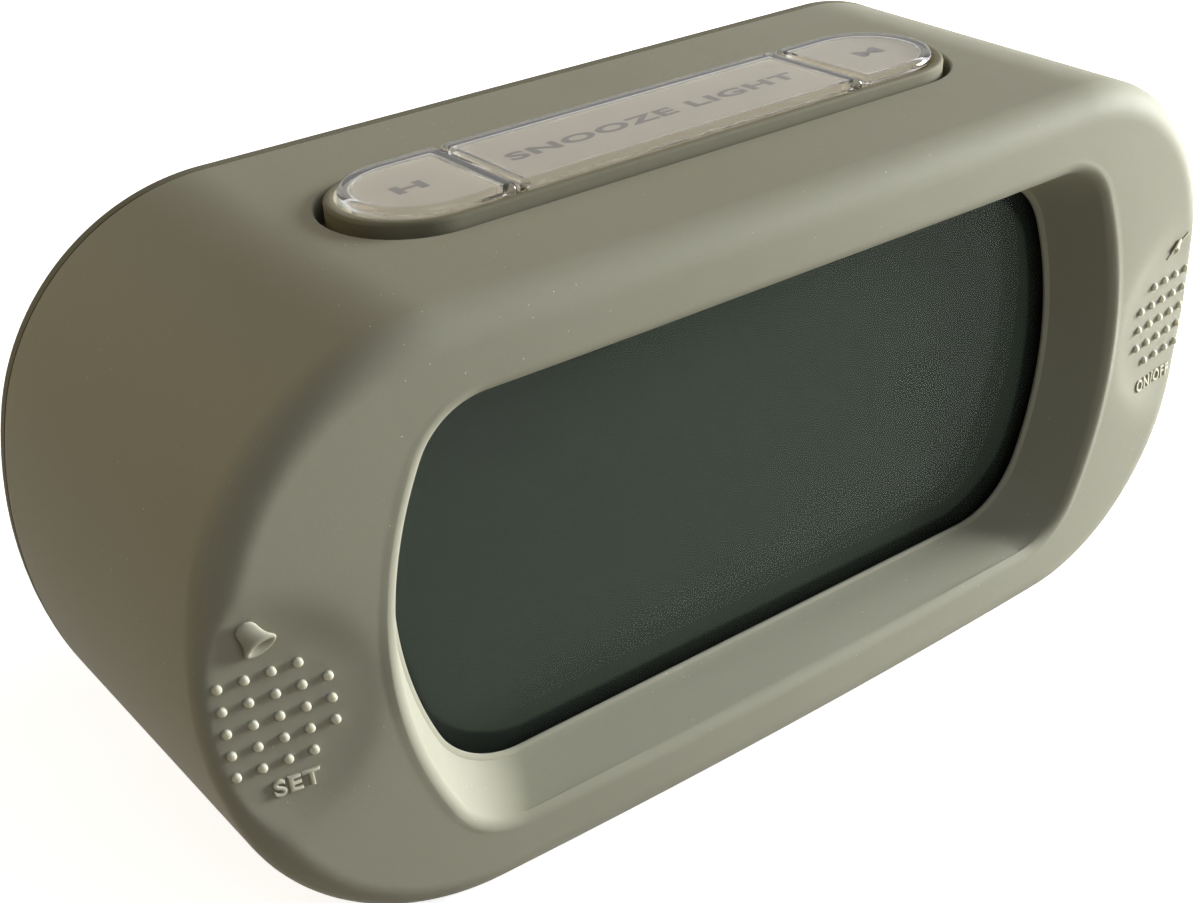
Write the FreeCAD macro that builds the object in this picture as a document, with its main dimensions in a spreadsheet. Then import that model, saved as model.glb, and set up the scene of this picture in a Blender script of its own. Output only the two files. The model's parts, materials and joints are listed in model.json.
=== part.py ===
"""Free-standing digital alarm clock with a soft silicone skin.

Millimetres. +X is to the right as the user faces the display, +Y points to the back, +Z is up.
The origin is the centre of the footprint, on the surface that the clock stands on.
"""
import FreeCAD, Part
import math
import os
import Sketcher

Vector = FreeCAD.Vector

# ---------------------------------------------------------------------------------------------
# Driving dimensions
# ---------------------------------------------------------------------------------------------
SIZES = [
    ("body_width", 155.0, "overall width of the skin at its back edge"),
    ("body_height", 74.0, "overall height of the skin at its back edge"),
    ("body_depth", 53.0, "overall depth"),
    ("body_corner_radius", 30.0, "corner arcs of the back outline"),
    ("body_end_radius", 53.0, "flatter arcs that close the two ends of the back outline"),
    ("body_draft", 0.8, "how much the front outline is smaller all round"),
    ("face_sag", 2.6, "how far the bowed face falls back at the two ends"),
    ("front_edge_radius", 3.9, "rounding between face and sides"),
    ("back_edge_radius", 1.2, "rounding of the rear cover's outer edge"),
    ("skin_wall", 2.0, "silicone on top, bottom and ends"),
    ("skin_front_wall", 2.6, "silicone in front of the housing at the ends of the face"),
    ("skin_clearance", 0.05, "between skin and housing"),
    ("cover_flange", 2.0, "rear cover's wall, seen as a rim behind the skin"),
    ("housing_wall", 2.0, "wall of the front housing and the rear cover"),
    ("split_from_back", 14.5, "joint between front housing and rear cover"),
    ("face_end", 20.7, "face between the funnel's mouth and the body's ends"),
    ("face_brow", 8.9, "face above and below the funnel's mouth"),
    ("rim_corner_radius", 10.0, "mouth of the display funnel"),
    ("rim_end_radius", 49.5, "mouth of the display funnel"),
    ("rim_lip_radius", 1.8, "rounding of the funnel's mouth"),
    ("funnel_end_step", 4.0, "how far the funnel narrows towards the lens at each end"),
    ("funnel_brow_step", 2.5, "how far it narrows above and below"),
    ("window_corner_radius", 11.8, "funnel at the lens"),
    ("window_end_radius", 46.6, "funnel at the lens"),
    ("window_recess", 9.7, "depth of the lens behind the middle of the face"),
    ("lining_wall", 2.9, "silicone round the funnel at the lens"),
    ("tunnel_clearance", 0.3, "between funnel lining and housing tunnel"),
    ("tunnel_wall", 1.6, "housing tunnel that holds the lens"),
    ("lens_clearance", 0.15, "between lens edge and tunnel"),
    ("lens_gap", 0.1, "between lining and lens, and between lens and display glass"),
    ("lens_thickness", 1.8, "clear display lens"),
    ("glass_end_margin", 3.0, "display glass beyond the window at each end"),
    ("glass_brow_margin", 2.2, "display glass beyond the window above and below"),
    ("glass_thickness", 1.1, "each of the two display glasses"),
    ("glass_ledge", 4.0, "contact ledge below the rear glass"),
    ("glass_bond", 0.05, "seal between the two glasses"),
    ("guide_end_margin", 2.0, "light guide inside the rear glass at each end"),
    ("guide_brow_margin", 2.0, "light guide inside the rear glass above and below"),
    ("guide_thickness", 2.5, "light guide"),
    ("guide_gap", 0.2, "between rear glass and light guide"),
    ("led_width", 1.6, "side light"),
    ("led_height", 3.0, "side light"),
    ("holder_wall", 2.0, "frame round the display glass"),
    ("holder_clearance", 0.2, "between display glass and its frame"),
    ("holder_depth", 6.1, "from display glass to main board"),
    ("strip_end_margin", 7.0, "rubber contact strip inside the display glass at each end"),
    ("strip_height", 2.4, "rubber contact strip under the display"),
    ("strip_inset", 0.8, "contact strip from the lower edge of the glass"),
    ("board_thickness", 1.6, "main board"),
    ("board_clearance", 0.5, "between main board and housing"),
    ("board_top_drop", 14.65, "upper edge of the main board below the housing's top"),
    ("board_boss_inset", 14.5, "main board screws from the body's ends"),
    ("board_boss_drop", 4.5, "upper main board screws below the board's edge"),
    ("board_boss_radius", 2.6, "main board bosses"),
    ("cover_boss_inset", 16.5, "rear cover screws from the body's ends"),
    ("cover_boss_drop", 10.65, "upper rear cover screws below the housing's top"),
    ("cover_boss_radius", 3.0, "rear cover bosses"),
    ("cover_seat", 2.5, "plastic under each rear cover screw head"),
    ("screw_radius", 1.1, "all screw shanks"),
    ("screw_clearance", 0.05, "round the screw shanks"),
    ("screw_head_radius", 2.1, "all screw heads"),
    ("screw_head_height", 1.5, "all screw heads"),
    ("board_screw_length", 7.0, "shank"),
    ("cover_screw_length", 10.0, "shank"),
    ("head_well_clearance", 0.3, "round the rear cover screw heads"),
    ("pad_inset", 8.5, "press pads from the body's ends"),
    ("pad_drop", 0.6, "press pads below mid height"),
    ("pad_depth", 3.3, "floor of the pad's dish behind the middle of the face"),
    ("pad_tilt", 8.1, "degrees that the dish floor leans outwards"),
    ("pad_radius", 6.9, "part of the dish that travels"),
    ("pad_gap", 0.3, "round and behind each press pad"),
    ("pad_thickness", 2.4, "press pad at its centre"),
    ("pad_travel", 0.6, "press pad stroke"),
    ("dish_floor_radius", 9.5, "flat floor of the dish"),
    ("dish_flare", 2.2, "outward run of the dish wall for each millimetre of depth"),
    ("dish_cutter_height", 5.0, "reach of the dish shape in front of its floor"),
    ("post_radius", 2.0, "post behind each press pad"),
    ("post_length", 4.8, "post behind each press pad"),
    ("post_clearance", 0.6, "round the posts in the housing"),
    ("stud_pitch", 2.75, "grip studs"),
    ("stud_radius", 0.55, "grip studs"),
    ("stud_height", 0.6, "grip studs above the dish floor"),
    ("key_row_length", 83.0, "three top keys together"),
    ("key_row_width", 17.0, "three top keys together"),
    ("key_row_offset", 0.5, "key row behind mid depth"),
    ("snooze_length", 50.0, "long middle key"),
    ("key_split_gap", 0.4, "between neighbouring keys"),
    ("key_proud", 2.0, "key tops above the skin"),
    ("cap_height", 5.0, "clear key caps"),
    ("cap_wall", 1.3, "side wall of the clear caps"),
    ("cap_top_wall", 2.0, "clear plastic over the legend"),
    ("cap_clearance", 0.1, "between clear cap and legend plate"),
    ("flange_overhang", 0.9, "key flange beyond the cap"),
    ("flange_thickness", 1.2, "key flange under the housing"),
    ("flange_gap", 0.3, "between key flange and housing"),
    ("plate_wall", 1.6, "wall of the hollow legend carriers"),
    ("key_travel", 0.8, "key stroke"),
    ("stem_radius", 2.2, "stem under each legend plate"),
    ("stem_length", 2.1, "stem below the key flange"),
    ("opening_length", 88.6, "slot in the skin for the keys"),
    ("opening_width", 20.3, "slot in the skin for the keys"),
    ("opening_edge_radius", 0.3, "rounding of that slot's rim"),
    ("collar_length", 87.6, "raised collar round the keys"),
    ("collar_width", 20.0, "raised collar round the keys"),
    ("collar_bore_length", 83.6, "inside of that collar"),
    ("collar_bore_width", 17.6, "inside of that collar"),
    ("collar_proud", 1.0, "collar above the skin"),
    ("tact_side", 6.0, "square switch bodies"),
    ("tact_height", 3.5, "switch bodies under the top keys"),
    ("plunger_radius", 1.7, "switch plungers"),
    ("plunger_clearance", 0.1, "round the plungers"),
    ("plunger_reach", 1.5, "plunger outside its switch"),
    ("plunger_inside", 1.1, "plunger inside its switch"),
    ("plunger_spare", 0.3, "left below a plunger at full stroke"),
    ("key_board_length", 98.0, "board under the top keys"),
    ("key_board_depth", 11.0, "board under the top keys"),
    ("key_board_thickness", 1.2, "board under the top keys"),
    ("key_board_boss_x", 46.0, "its screws from the middle"),
    ("key_board_boss_radius", 2.2, "its bosses"),
    ("key_board_screw_length", 6.0, "shank"),
    ("cell_radius", 5.25, "small round cells"),
    ("cell_length", 44.5, "small round cells"),
    ("cell_nub_radius", 1.9, "positive cap of a cell"),
    ("cell_nub_height", 0.8, "positive cap of a cell"),
    ("cell_pitch", 12.2, "cell to cell"),
    ("cell_gap", 0.3, "between cells and bay"),
    ("spring_length", 5.0, "cell springs as fitted"),
    ("spring_radius", 3.4, "cell springs"),
    ("spring_wire_radius", 0.35, "cell springs"),
    ("contact_thickness", 0.4, "cell contact plates"),
    ("contact_side", 8.6, "cell contact plates"),
    ("bay_wall", 1.2, "battery bay"),
    ("bay_height", 37.5, "inside of the battery bay"),
    ("bay_depth", 12.0, "inside of the battery bay"),
    ("bay_drop", 4.2, "battery bay below mid height"),
    ("door_overlap", 3.75, "battery door beyond the bay's length at each end"),
    ("door_rise", 2.25, "battery door beyond the bay's height at each side"),
    ("door_thickness", 1.6, "battery door"),
    ("door_gap", 0.3, "round the battery door"),
    ("door_seat_gap", 0.1, "behind the battery door"),
    ("door_seat_thickness", 1.2, "ledge behind the battery door"),
    ("door_pin_radius", 0.5, "door's hinge pins"),
    ("door_pin_length", 1.6, "door's hinge pins"),
    ("door_pin_clearance", 0.05, "round the hinge pins"),
    ("door_grip_radius", 5.0, "thumb hollow in the battery door"),
    ("door_grip_depth", 0.7, "thumb hollow in the battery door"),
    ("door_grip_drop", 7.0, "thumb hollow's middle below the door's upper edge"),
    ("foam_length", 30.0, "foam strip inside the battery door"),
    ("foam_height", 6.0, "foam strip inside the battery door"),
    ("foam_thickness", 0.9, "foam strip inside the battery door"),
    ("slider_inset", 30.5, "slide switch from the body's end"),
    ("slider_recess_length", 13.0, "hollow round the slide knob"),
    ("slider_recess_height", 6.4, "hollow round the slide knob"),
    ("slider_recess_depth", 1.2, "hollow round the slide knob"),
    ("slider_travel", 2.5, "slide knob stroke"),
    ("slider_knob_length", 3.0, "slide knob"),
    ("slider_knob_height", 2.2, "slide knob"),
    ("slider_knob_sunk", 0.4, "slide knob below the back face"),
    ("slider_clearance", 0.2, "round the slide knob"),
    ("slider_body_length", 10.0, "slide switch"),
    ("slider_body_height", 5.0, "slide switch"),
    ("slider_body_depth", 3.6, "slide switch"),
    ("slider_channel_depth", 1.2, "track inside the slide switch"),
    ("buzzer_inset", 30.5, "buzzer from the body's end"),
    ("buzzer_ring_radius", 11.2, "ring that carries the buzzer disc"),
    ("buzzer_ring_wall", 2.0, "ring that carries the buzzer disc"),
    ("buzzer_ring_height", 3.0, "ring that carries the buzzer disc"),
    ("buzzer_disc_radius", 10.6, "brass disc"),
    ("buzzer_disc_thickness", 0.3, "brass disc"),
    ("buzzer_ceramic_radius", 7.5, "ceramic layer on the disc"),
    ("sound_hole_radius", 0.8, "holes over the buzzer"),
    ("sound_hole_pitch", 4.0, "holes over the buzzer"),
    ("chip_radius", 7.0, "controller under its resin cap"),
    ("chip_height", 1.6, "controller under its resin cap"),
    ("chip_drop", 2.0, "controller below mid height"),
    ("crystal_radius", 1.2, "timing crystal"),
    ("crystal_length", 6.0, "timing crystal"),
    ("crystal_x", 14.0, "timing crystal's near end from the middle"),
    ("crystal_drop", 6.0, "timing crystal below mid height"),
    ("capacitor_radius", 3.0, "smoothing capacitor"),
    ("capacitor_height", 7.0, "smoothing capacitor"),
    ("capacitor_x", 24.0, "smoothing capacitor from the middle"),
    ("capacitor_drop", 6.0, "smoothing capacitor below mid height"),
    ("resistor_length", 2.0, "surface resistors"),
    ("resistor_width", 1.25, "surface resistors"),
    ("resistor_height", 0.6, "surface resistors"),
    ("resistor_pitch", 3.5, "surface resistors"),
    ("resistor_x", 14.0, "first surface resistor from the middle"),
    ("resistor_rise", 8.0, "surface resistors above mid height"),
    ("ribbon_width", 12.0, "flat cable between the boards"),
    ("ribbon_thickness", 0.4, "flat cable between the boards"),
    ("ribbon_drop", 6.0, "flat cable below the main board's upper edge"),
    ("wire_radius", 0.6, "hook-up wires"),
    ("wire_clearance", 0.2, "round a wire in its hole"),
    ("wire_spread", 2.5, "half the distance between the two wires of a pair"),
    ("wire_pinch", 1.8, "the same where the pair comes closest"),
    ("wire_lead", 7.0, "straight lead out of the buzzer and the slide switch"),
    ("wire_landing", 5.0, "straight lead of those wires into the main board"),
    ("wire_drop", 5.0, "those wires land below mid height"),
    ("bay_wire_lead", 6.0, "straight lead of the battery wires out of the bay"),
    ("bay_wire_bow", 9.0, "widest point of the battery wires beyond the bay"),
    ("bay_wire_foot", 8.0, "battery wires land this far beyond the bay"),
    ("bay_wire_rise", 2.0, "battery wires land above their contacts"),
    ("bay_wire_landing", 7.0, "straight lead of the battery wires into the main board"),
]


class Size:
    """A length that knows its number and the sheet expression that gives it."""

    def __init__(self, number, text):
        self.number = number
        self.text = text

    @staticmethod
    def of(value):
        if isinstance(value, Size):
            return value
        return Size(float(value), "(%.9g)" % value)

    def __add__(self, other):
        other = Size.of(other)
        return Size(self.number + other.number, "(%s + %s)" % (self.text, other.text))

    def __sub__(self, other):
        other = Size.of(other)
        return Size(self.number - other.number, "(%s - %s)" % (self.text, other.text))

    def __mul__(self, other):
        other = Size.of(other)
        return Size(self.number * other.number, "(%s * %s)" % (self.text, other.text))

    def __truediv__(self, other):
        other = Size.of(other)
        return Size(self.number / other.number, "(%s / %s)" % (self.text, other.text))

    def __neg__(self):
        return self * -1

    __radd__ = __add__
    __rmul__ = __mul__

    def __rsub__(self, other):
        return Size.of(other) - self


doc = FreeCAD.newDocument("alarm_clock")
sheet = doc.addObject("Spreadsheet::Sheet", "Sizes")
S = {}
for row, (alias, number, meaning) in enumerate(SIZES, start=1):
    sheet.set("A%d" % row, alias)
    sheet.set("B%d" % row, repr(number))
    sheet.set("C%d" % row, meaning)
    sheet.setAlias("B%d" % row, alias)
    S[alias] = Size(number, "Sizes." + alias)
doc.recompute()

nodes = []


# ---------------------------------------------------------------------------------------------
# Drawing helpers
# ---------------------------------------------------------------------------------------------
def bind(item, prop, value):
    """Ties one property to the sheet."""
    item.setExpression(prop, Size.of(value).text)


def place(item, x, y, z):
    bind(item, "Placement.Base.x", x)
    bind(item, "Placement.Base.y", y)
    bind(item, "Placement.Base.z", z)
    return item


def new(kind, name):
    item = doc.addObject(kind, name)
    item.Label = name
    return item


def box(name, x, y, z, width, depth, height):
    """Box with its lowest corner at x, y, z."""
    item = new("Part::Box", name)
    bind(item, "Length", width)
    bind(item, "Width", depth)
    bind(item, "Height", height)
    return place(item, x, y, z)


def centred_box(name, x, y, z, width, depth, height):
    """Box centred on x and z, with its front face at y."""
    return box(name, x - width / 2, y, z - height / 2, width, depth, height)


TURN = {
    "x": FreeCAD.Rotation(Vector(0, 1, 0), 90),
    "y": FreeCAD.Rotation(Vector(1, 0, 0), -90),
    "z": FreeCAD.Rotation(),
}


def rod(name, axis, x, y, z, radius, length):
    """Cylinder that starts at x, y, z and runs along +axis."""
    item = new("Part::Cylinder", name)
    bind(item, "Radius", radius)
    bind(item, "Height", length)
    item.Placement = FreeCAD.Placement(Vector(), TURN[axis])
    return place(item, x, y, z)


def fuse(name, *items):
    item = new("Part::MultiFuse", name)
    item.Shapes = list(items)
    item.Refine = True
    return item


def common(name, *items):
    item = new("Part::MultiCommon", name)
    item.Shapes = list(items)
    return item


def cut(name, base, *tools):
    item = new("Part::Cut", name)
    item.Base = base
    item.Tool = tools[0] if len(tools) == 1 else fuse(name + "_tools", *tools)
    return item


def group(name, items):
    """Several separate solids that share one node."""
    item = new("Part::Compound", name)
    item.Links = list(items)
    return item


def round_edges(name, base, radius, wanted):
    """Rounds the edges for which wanted(edge) is true."""
    doc.recompute()
    item = new("Part::Fillet", name)
    item.Base = base
    size = Size.of(radius).number
    picked = [i for i, edge in enumerate(base.Shape.Edges, start=1) if wanted(edge)]
    item.Edges = [(i, size, size) for i in picked]
    return item


def node(name, item):
    """Registers a finished sub-part under the name that it is kept by."""
    item.Label = name
    nodes.append(item)
    return item


def join_ends(sketch, count):
    """Closes a chain of tangent curves, each one's end on the next one's start."""
    for i in range(count):
        sketch.addConstraint(Sketcher.Constraint("Tangent", i, 2, (i + 1) % count, 1))


def size_constraint(sketch, label, value, *where):
    index = sketch.addConstraint(Sketcher.Constraint(*where, Size.of(value).number))
    sketch.renameConstraint(index, label)
    sketch.setExpression("Constraints." + label, Size.of(value).text)


def arc(centre, radius, start, end):
    circle = Part.Circle(Vector(centre[0], centre[1], 0), Vector(0, 0, 1), radius)
    return Part.ArcOfCircle(circle, start, end)


def line(start, end):
    return Part.LineSegment(Vector(start[0], start[1], 0), Vector(end[0], end[1], 0))


def outline(name, width, height, corner, end, y, mid):
    """Upright sketch: straight top and bottom, corner arcs, and flatter arcs at the two ends."""
    half_w, half_h = width.number / 2, height.number / 2
    r1, r2, zc = corner.number, end.number, Size.of(mid).number
    rise = half_h - r1
    run = math.sqrt((r2 - r1) ** 2 - rise ** 2)
    end_x = half_w - r2
    corner_x = end_x + run
    joint = math.atan2(rise, run)
    sketch = new("Sketcher::SketchObject", name)
    sketch.Placement = FreeCAD.Placement(Vector(), FreeCAD.Rotation(Vector(1, 0, 0), 90))
    place(sketch, 0, y, 0)
    top, bottom = zc + half_h, zc - half_h
    quarter, half = math.pi / 2, math.pi
    sketch.addGeometry([
        arc((end_x, zc), r2, -joint, joint),
        arc((corner_x, zc + rise), r1, joint, quarter),
        line((corner_x, top), (-corner_x, top)),
        arc((-corner_x, zc + rise), r1, quarter, half - joint),
        arc((-end_x, zc), r2, half - joint, half + joint),
        arc((-corner_x, zc - rise), r1, half + joint, half + quarter),
        line((-corner_x, bottom), (corner_x, bottom)),
        arc((corner_x, zc - rise), r1, -quarter, -joint),
    ])
    join_ends(sketch, 8)
    for other in (3, 5, 7):
        sketch.addConstraint(Sketcher.Constraint("Equal", 1, other))
    sketch.addConstraint(Sketcher.Constraint("Equal", 0, 4))
    sketch.addConstraint(Sketcher.Constraint("Horizontal", 2))
    sketch.addConstraint(Sketcher.Constraint("Horizontal", 6))
    size_constraint(sketch, "corner_radius", corner, "Radius", 1)
    size_constraint(sketch, "end_radius", end, "Radius", 0)
    size_constraint(sketch, "right_end", width / 2 - end, "DistanceX", -1, 1, 0, 3)
    size_constraint(sketch, "left_end", width / 2 - end, "DistanceX", 4, 3, -1, 1)
    size_constraint(sketch, "right_mid", mid, "DistanceY", -1, 1, 0, 3)
    size_constraint(sketch, "left_mid", mid, "DistanceY", -1, 1, 4, 3)
    size_constraint(sketch, "top_rise", height / 2, "DistanceY", 0, 3, 2, 1)
    size_constraint(sketch, "bottom_drop", height / 2, "DistanceY", 6, 1, 0, 3)
    return sketch


def stadium(name, length, width, mid_y, z):
    """Level sketch: two straights and two half circles, long way along X."""
    half_l, r, yc = length.number / 2, width.number / 2, Size.of(mid_y).number
    x = half_l - r
    sketch = new("Sketcher::SketchObject", name)
    place(sketch, 0, 0, z)
    quarter = math.pi / 2
    sketch.addGeometry([
        arc((x, yc), r, -quarter, quarter),
        line((x, yc + r), (-x, yc + r)),
        arc((-x, yc), r, quarter, 3 * quarter),
        line((-x, yc - r), (x, yc - r)),
    ])
    join_ends(sketch, 4)
    sketch.addConstraint(Sketcher.Constraint("Equal", 0, 2))
    sketch.addConstraint(Sketcher.Constraint("Horizontal", 1))
    size_constraint(sketch, "end_radius", width / 2, "Radius", 0)
    size_constraint(sketch, "right_end", length / 2 - width / 2, "DistanceX", -1, 1, 0, 3)
    size_constraint(sketch, "left_end", length / 2 - width / 2, "DistanceX", 2, 3, -1, 1)
    size_constraint(sketch, "mid_line", mid_y, "DistanceY", -1, 1, 0, 3)
    return sketch


def extrude(name, sketch, direction, length):
    item = new("Part::Extrusion", name)
    item.Base = sketch
    item.DirMode = "Custom"
    item.Dir = direction
    item.Solid = True
    bind(item, "LengthFwd", length)
    return item


def upright_slab(name, width, height, corner, end, mid, y, depth):
    """Solid with the outline above, from y backwards."""
    sketch = outline(name + "_outline", width, height, corner, end, y, mid)
    return extrude(name, sketch, Vector(0, 1, 0), depth)


def level_slab(name, length, width, mid_y, z, height):
    """Solid with the stadium outline, from z upwards."""
    sketch = stadium(name + "_outline", length, width, mid_y, z)
    return extrude(name, sketch, Vector(0, 0, 1), height)


def loft(name, first, second):
    item = new("Part::Loft", name)
    item.Sections = [first, second]
    item.Solid = True
    item.Ruled = True
    return item


def cable(name, points, radius):
    """Round wire of straight runs and tangent arcs, each arc as large as its two runs allow."""
    points = [Vector(*[Size.of(value).number for value in point]) for point in points]
    edges, last = [], points[0]
    for before, corner, after in zip(points, points[1:], points[2:]):
        inward, outward = (corner - before), (after - corner)
        shorter = min(inward.Length, outward.Length)
        inward.normalize()
        outward.normalize()
        reach = 0.45 * shorter
        start, end = corner - inward * reach, corner + outward * reach
        middle = corner + (start + end - corner * 2) * 0.5
        half_turn = math.acos(max(-1.0, min(1.0, inward * outward))) / 2
        bend = reach / math.tan(half_turn)
        inside = (middle - corner).normalize()
        peak = corner + inside * (bend / math.cos(half_turn) - bend)
        edges.append(Part.LineSegment(last, start).toShape())
        edges.append(Part.Arc(start, peak, end).toShape())
        last = end
    edges.append(Part.LineSegment(last, points[-1]).toShape())
    heading = points[1] - points[0]
    section = Part.Wire(Part.Circle(points[0], heading, Size.of(radius).number).toShape())
    item = new("Part::Feature", name)
    item.Shape = Part.Wire(edges).makePipeShell([section], True, True)
    return item


# ---------------------------------------------------------------------------------------------
# Planes and levels that several pieces share
# ---------------------------------------------------------------------------------------------
front_y = -S["body_depth"] / 2
back_y = S["body_depth"] / 2
front_width = S["body_width"] - S["body_draft"] * 2
front_height = S["body_height"] - S["body_draft"] * 2
mid_z = front_height / 2
skin_end_y = back_y - S["cover_flange"]
split_y = back_y - S["split_from_back"]
half_width = S["body_width"] / 2
SIDES = ((-1, "left"), (1, "right"))

housing_y = front_y + S["face_sag"] + S["skin_front_wall"]
housing_inset = S["body_draft"] + S["skin_wall"] + S["skin_clearance"]
housing_width = S["body_width"] - housing_inset * 2
housing_height = S["body_height"] - housing_inset * 2
housing_corner = S["body_corner_radius"] - housing_inset
housing_end = S["body_end_radius"] - housing_inset
housing_top = mid_z + housing_height / 2
housing_ceiling = housing_top - S["housing_wall"]
housing_inner_y = housing_y + S["housing_wall"]

rim_width = front_width - S["face_end"] * 2
rim_height = front_height - S["face_brow"] * 2
window_width = rim_width - S["funnel_end_step"] * 2
window_height = rim_height - S["funnel_brow_step"] * 2
glass_width = window_width + S["glass_end_margin"] * 2
glass_height = window_height + S["glass_brow_margin"] * 2
lens_y = front_y + S["window_recess"]
lens_back_y = lens_y + S["lens_thickness"]
glass_y = lens_back_y + S["lens_gap"]
rear_glass_y = glass_y + S["glass_thickness"] + S["glass_bond"]
guide_y = rear_glass_y + S["glass_thickness"] + S["guide_gap"]
board_y = glass_y + S["holder_depth"]
board_back_y = board_y + S["board_thickness"]
board_top = housing_top - S["board_top_drop"]
board_boss_rise = board_top - S["board_boss_drop"] - mid_z
cover_boss_rise = housing_top - S["cover_boss_drop"] - mid_z

pad_x = half_width - S["pad_inset"]
pad_z = mid_z - S["pad_drop"]
pad_floor_y = front_y + S["pad_depth"]
pad_back_y = pad_floor_y + S["pad_thickness"]
pad_pocket_y = pad_back_y + S["pad_travel"] + S["pad_gap"]
post_end_y = pad_back_y + S["post_length"]

skin_top = S["body_height"] - S["body_draft"]
key_top = skin_top + S["key_proud"]
cap_bottom = key_top - S["cap_height"]
plate_top = key_top - S["cap_top_wall"]
flange_top = housing_ceiling - S["flange_gap"]
flange_bottom = flange_top - S["flange_thickness"]
stem_bottom = flange_bottom - S["stem_length"]
tact_top = stem_bottom - S["plunger_reach"]
key_board_top = tact_top - S["tact_height"]
key_board_bottom = key_board_top - S["key_board_thickness"]
key_y = S["key_row_offset"]

bay_length = (S["cell_length"] + S["spring_length"] + S["contact_thickness"] * 2
              + S["cell_gap"])
bay_z = mid_z - S["bay_drop"]
door_y = back_y - S["door_thickness"]
bay_mouth_y = door_y - S["door_seat_gap"]
bay_floor_y = door_y - S["bay_depth"]
door_length = bay_length + S["door_overlap"] * 2
door_height = S["bay_height"] + S["door_rise"] * 2
door_axis_y = back_y - S["door_thickness"] / 2
door_axis_z = bay_z - door_height / 2 + S["door_thickness"] / 2
FAR = 200.0      # reach of cutting blocks past the body
OVER = 1.0       # cutting tools run this far past the material
ROOT = 0.5       # bosses and plates start this far inside what carries them
NEAR = 0.01      # tolerance when edges are picked by place


def skin_form(name):
    """Outer form: straight draft from the back outline to the smaller front one, bowed face."""
    front = outline(name + "_front_outline", front_width, front_height,
                    S["body_corner_radius"] - S["body_draft"],
                    S["body_end_radius"] - S["body_draft"], front_y, mid_z)
    back = outline(name + "_back_outline", S["body_width"], S["body_height"],
                   S["body_corner_radius"], S["body_end_radius"], back_y,
                   S["body_height"] / 2)
    return loft(name, front, back)


def offset_slab(name, kind, growth, y, depth):
    """Upright slab that follows the window or the housing outline at a distance."""
    if kind == "window":
        width, height = window_width, window_height
        corner, end = S["window_corner_radius"], S["window_end_radius"]
    else:
        width, height = housing_width, housing_height
        corner, end = housing_corner, housing_end
    return upright_slab(name, width + growth * 2, height + growth * 2, corner + growth,
                        end + growth, mid_z, y, depth)


def dish_cutter(name, side):
    """Shallow cone in front of a press pad: tilted flat floor, flared wall."""
    item = new("Part::Cone", name)
    bind(item, "Radius1", S["dish_floor_radius"])
    bind(item, "Radius2", S["dish_floor_radius"] + S["dish_flare"] * S["dish_cutter_height"])
    bind(item, "Height", S["dish_cutter_height"])
    tilt = S["pad_tilt"].number
    forward = FreeCAD.Rotation(Vector(1, 0, 0), 90)
    outward = FreeCAD.Rotation(Vector(0, 0, 1), side * tilt)
    item.Placement = FreeCAD.Placement(Vector(), outward.multiply(forward))
    return place(item, side * pad_x, pad_floor_y, pad_z)


# ---------------------------------------------------------------------------------------------
# Soft skin
# ---------------------------------------------------------------------------------------------
def stud_places():
    """Grip stud grid: columns counted outwards from the middle, rows upwards."""
    for column in range(-2, 3):
        for row in range(-2, 3):
            if not (column == -2 and abs(row) == 2):
                yield column, row


def on_pad(column, row):
    reach = math.hypot(column, row) * S["stud_pitch"].number
    return reach + S["stud_radius"].number < S["pad_radius"].number


def stud(name, side, column, row):
    """Small stud on the leaning dish floor; column counts towards the body's end."""
    lean = math.tan(math.radians(S["pad_tilt"].number))
    out = column * S["stud_pitch"]
    return rod(name, "y", side * (pad_x + out), pad_floor_y + out * lean - S["stud_height"],
               pad_z + row * S["stud_pitch"], S["stud_radius"], S["stud_height"] * 2)


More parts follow.
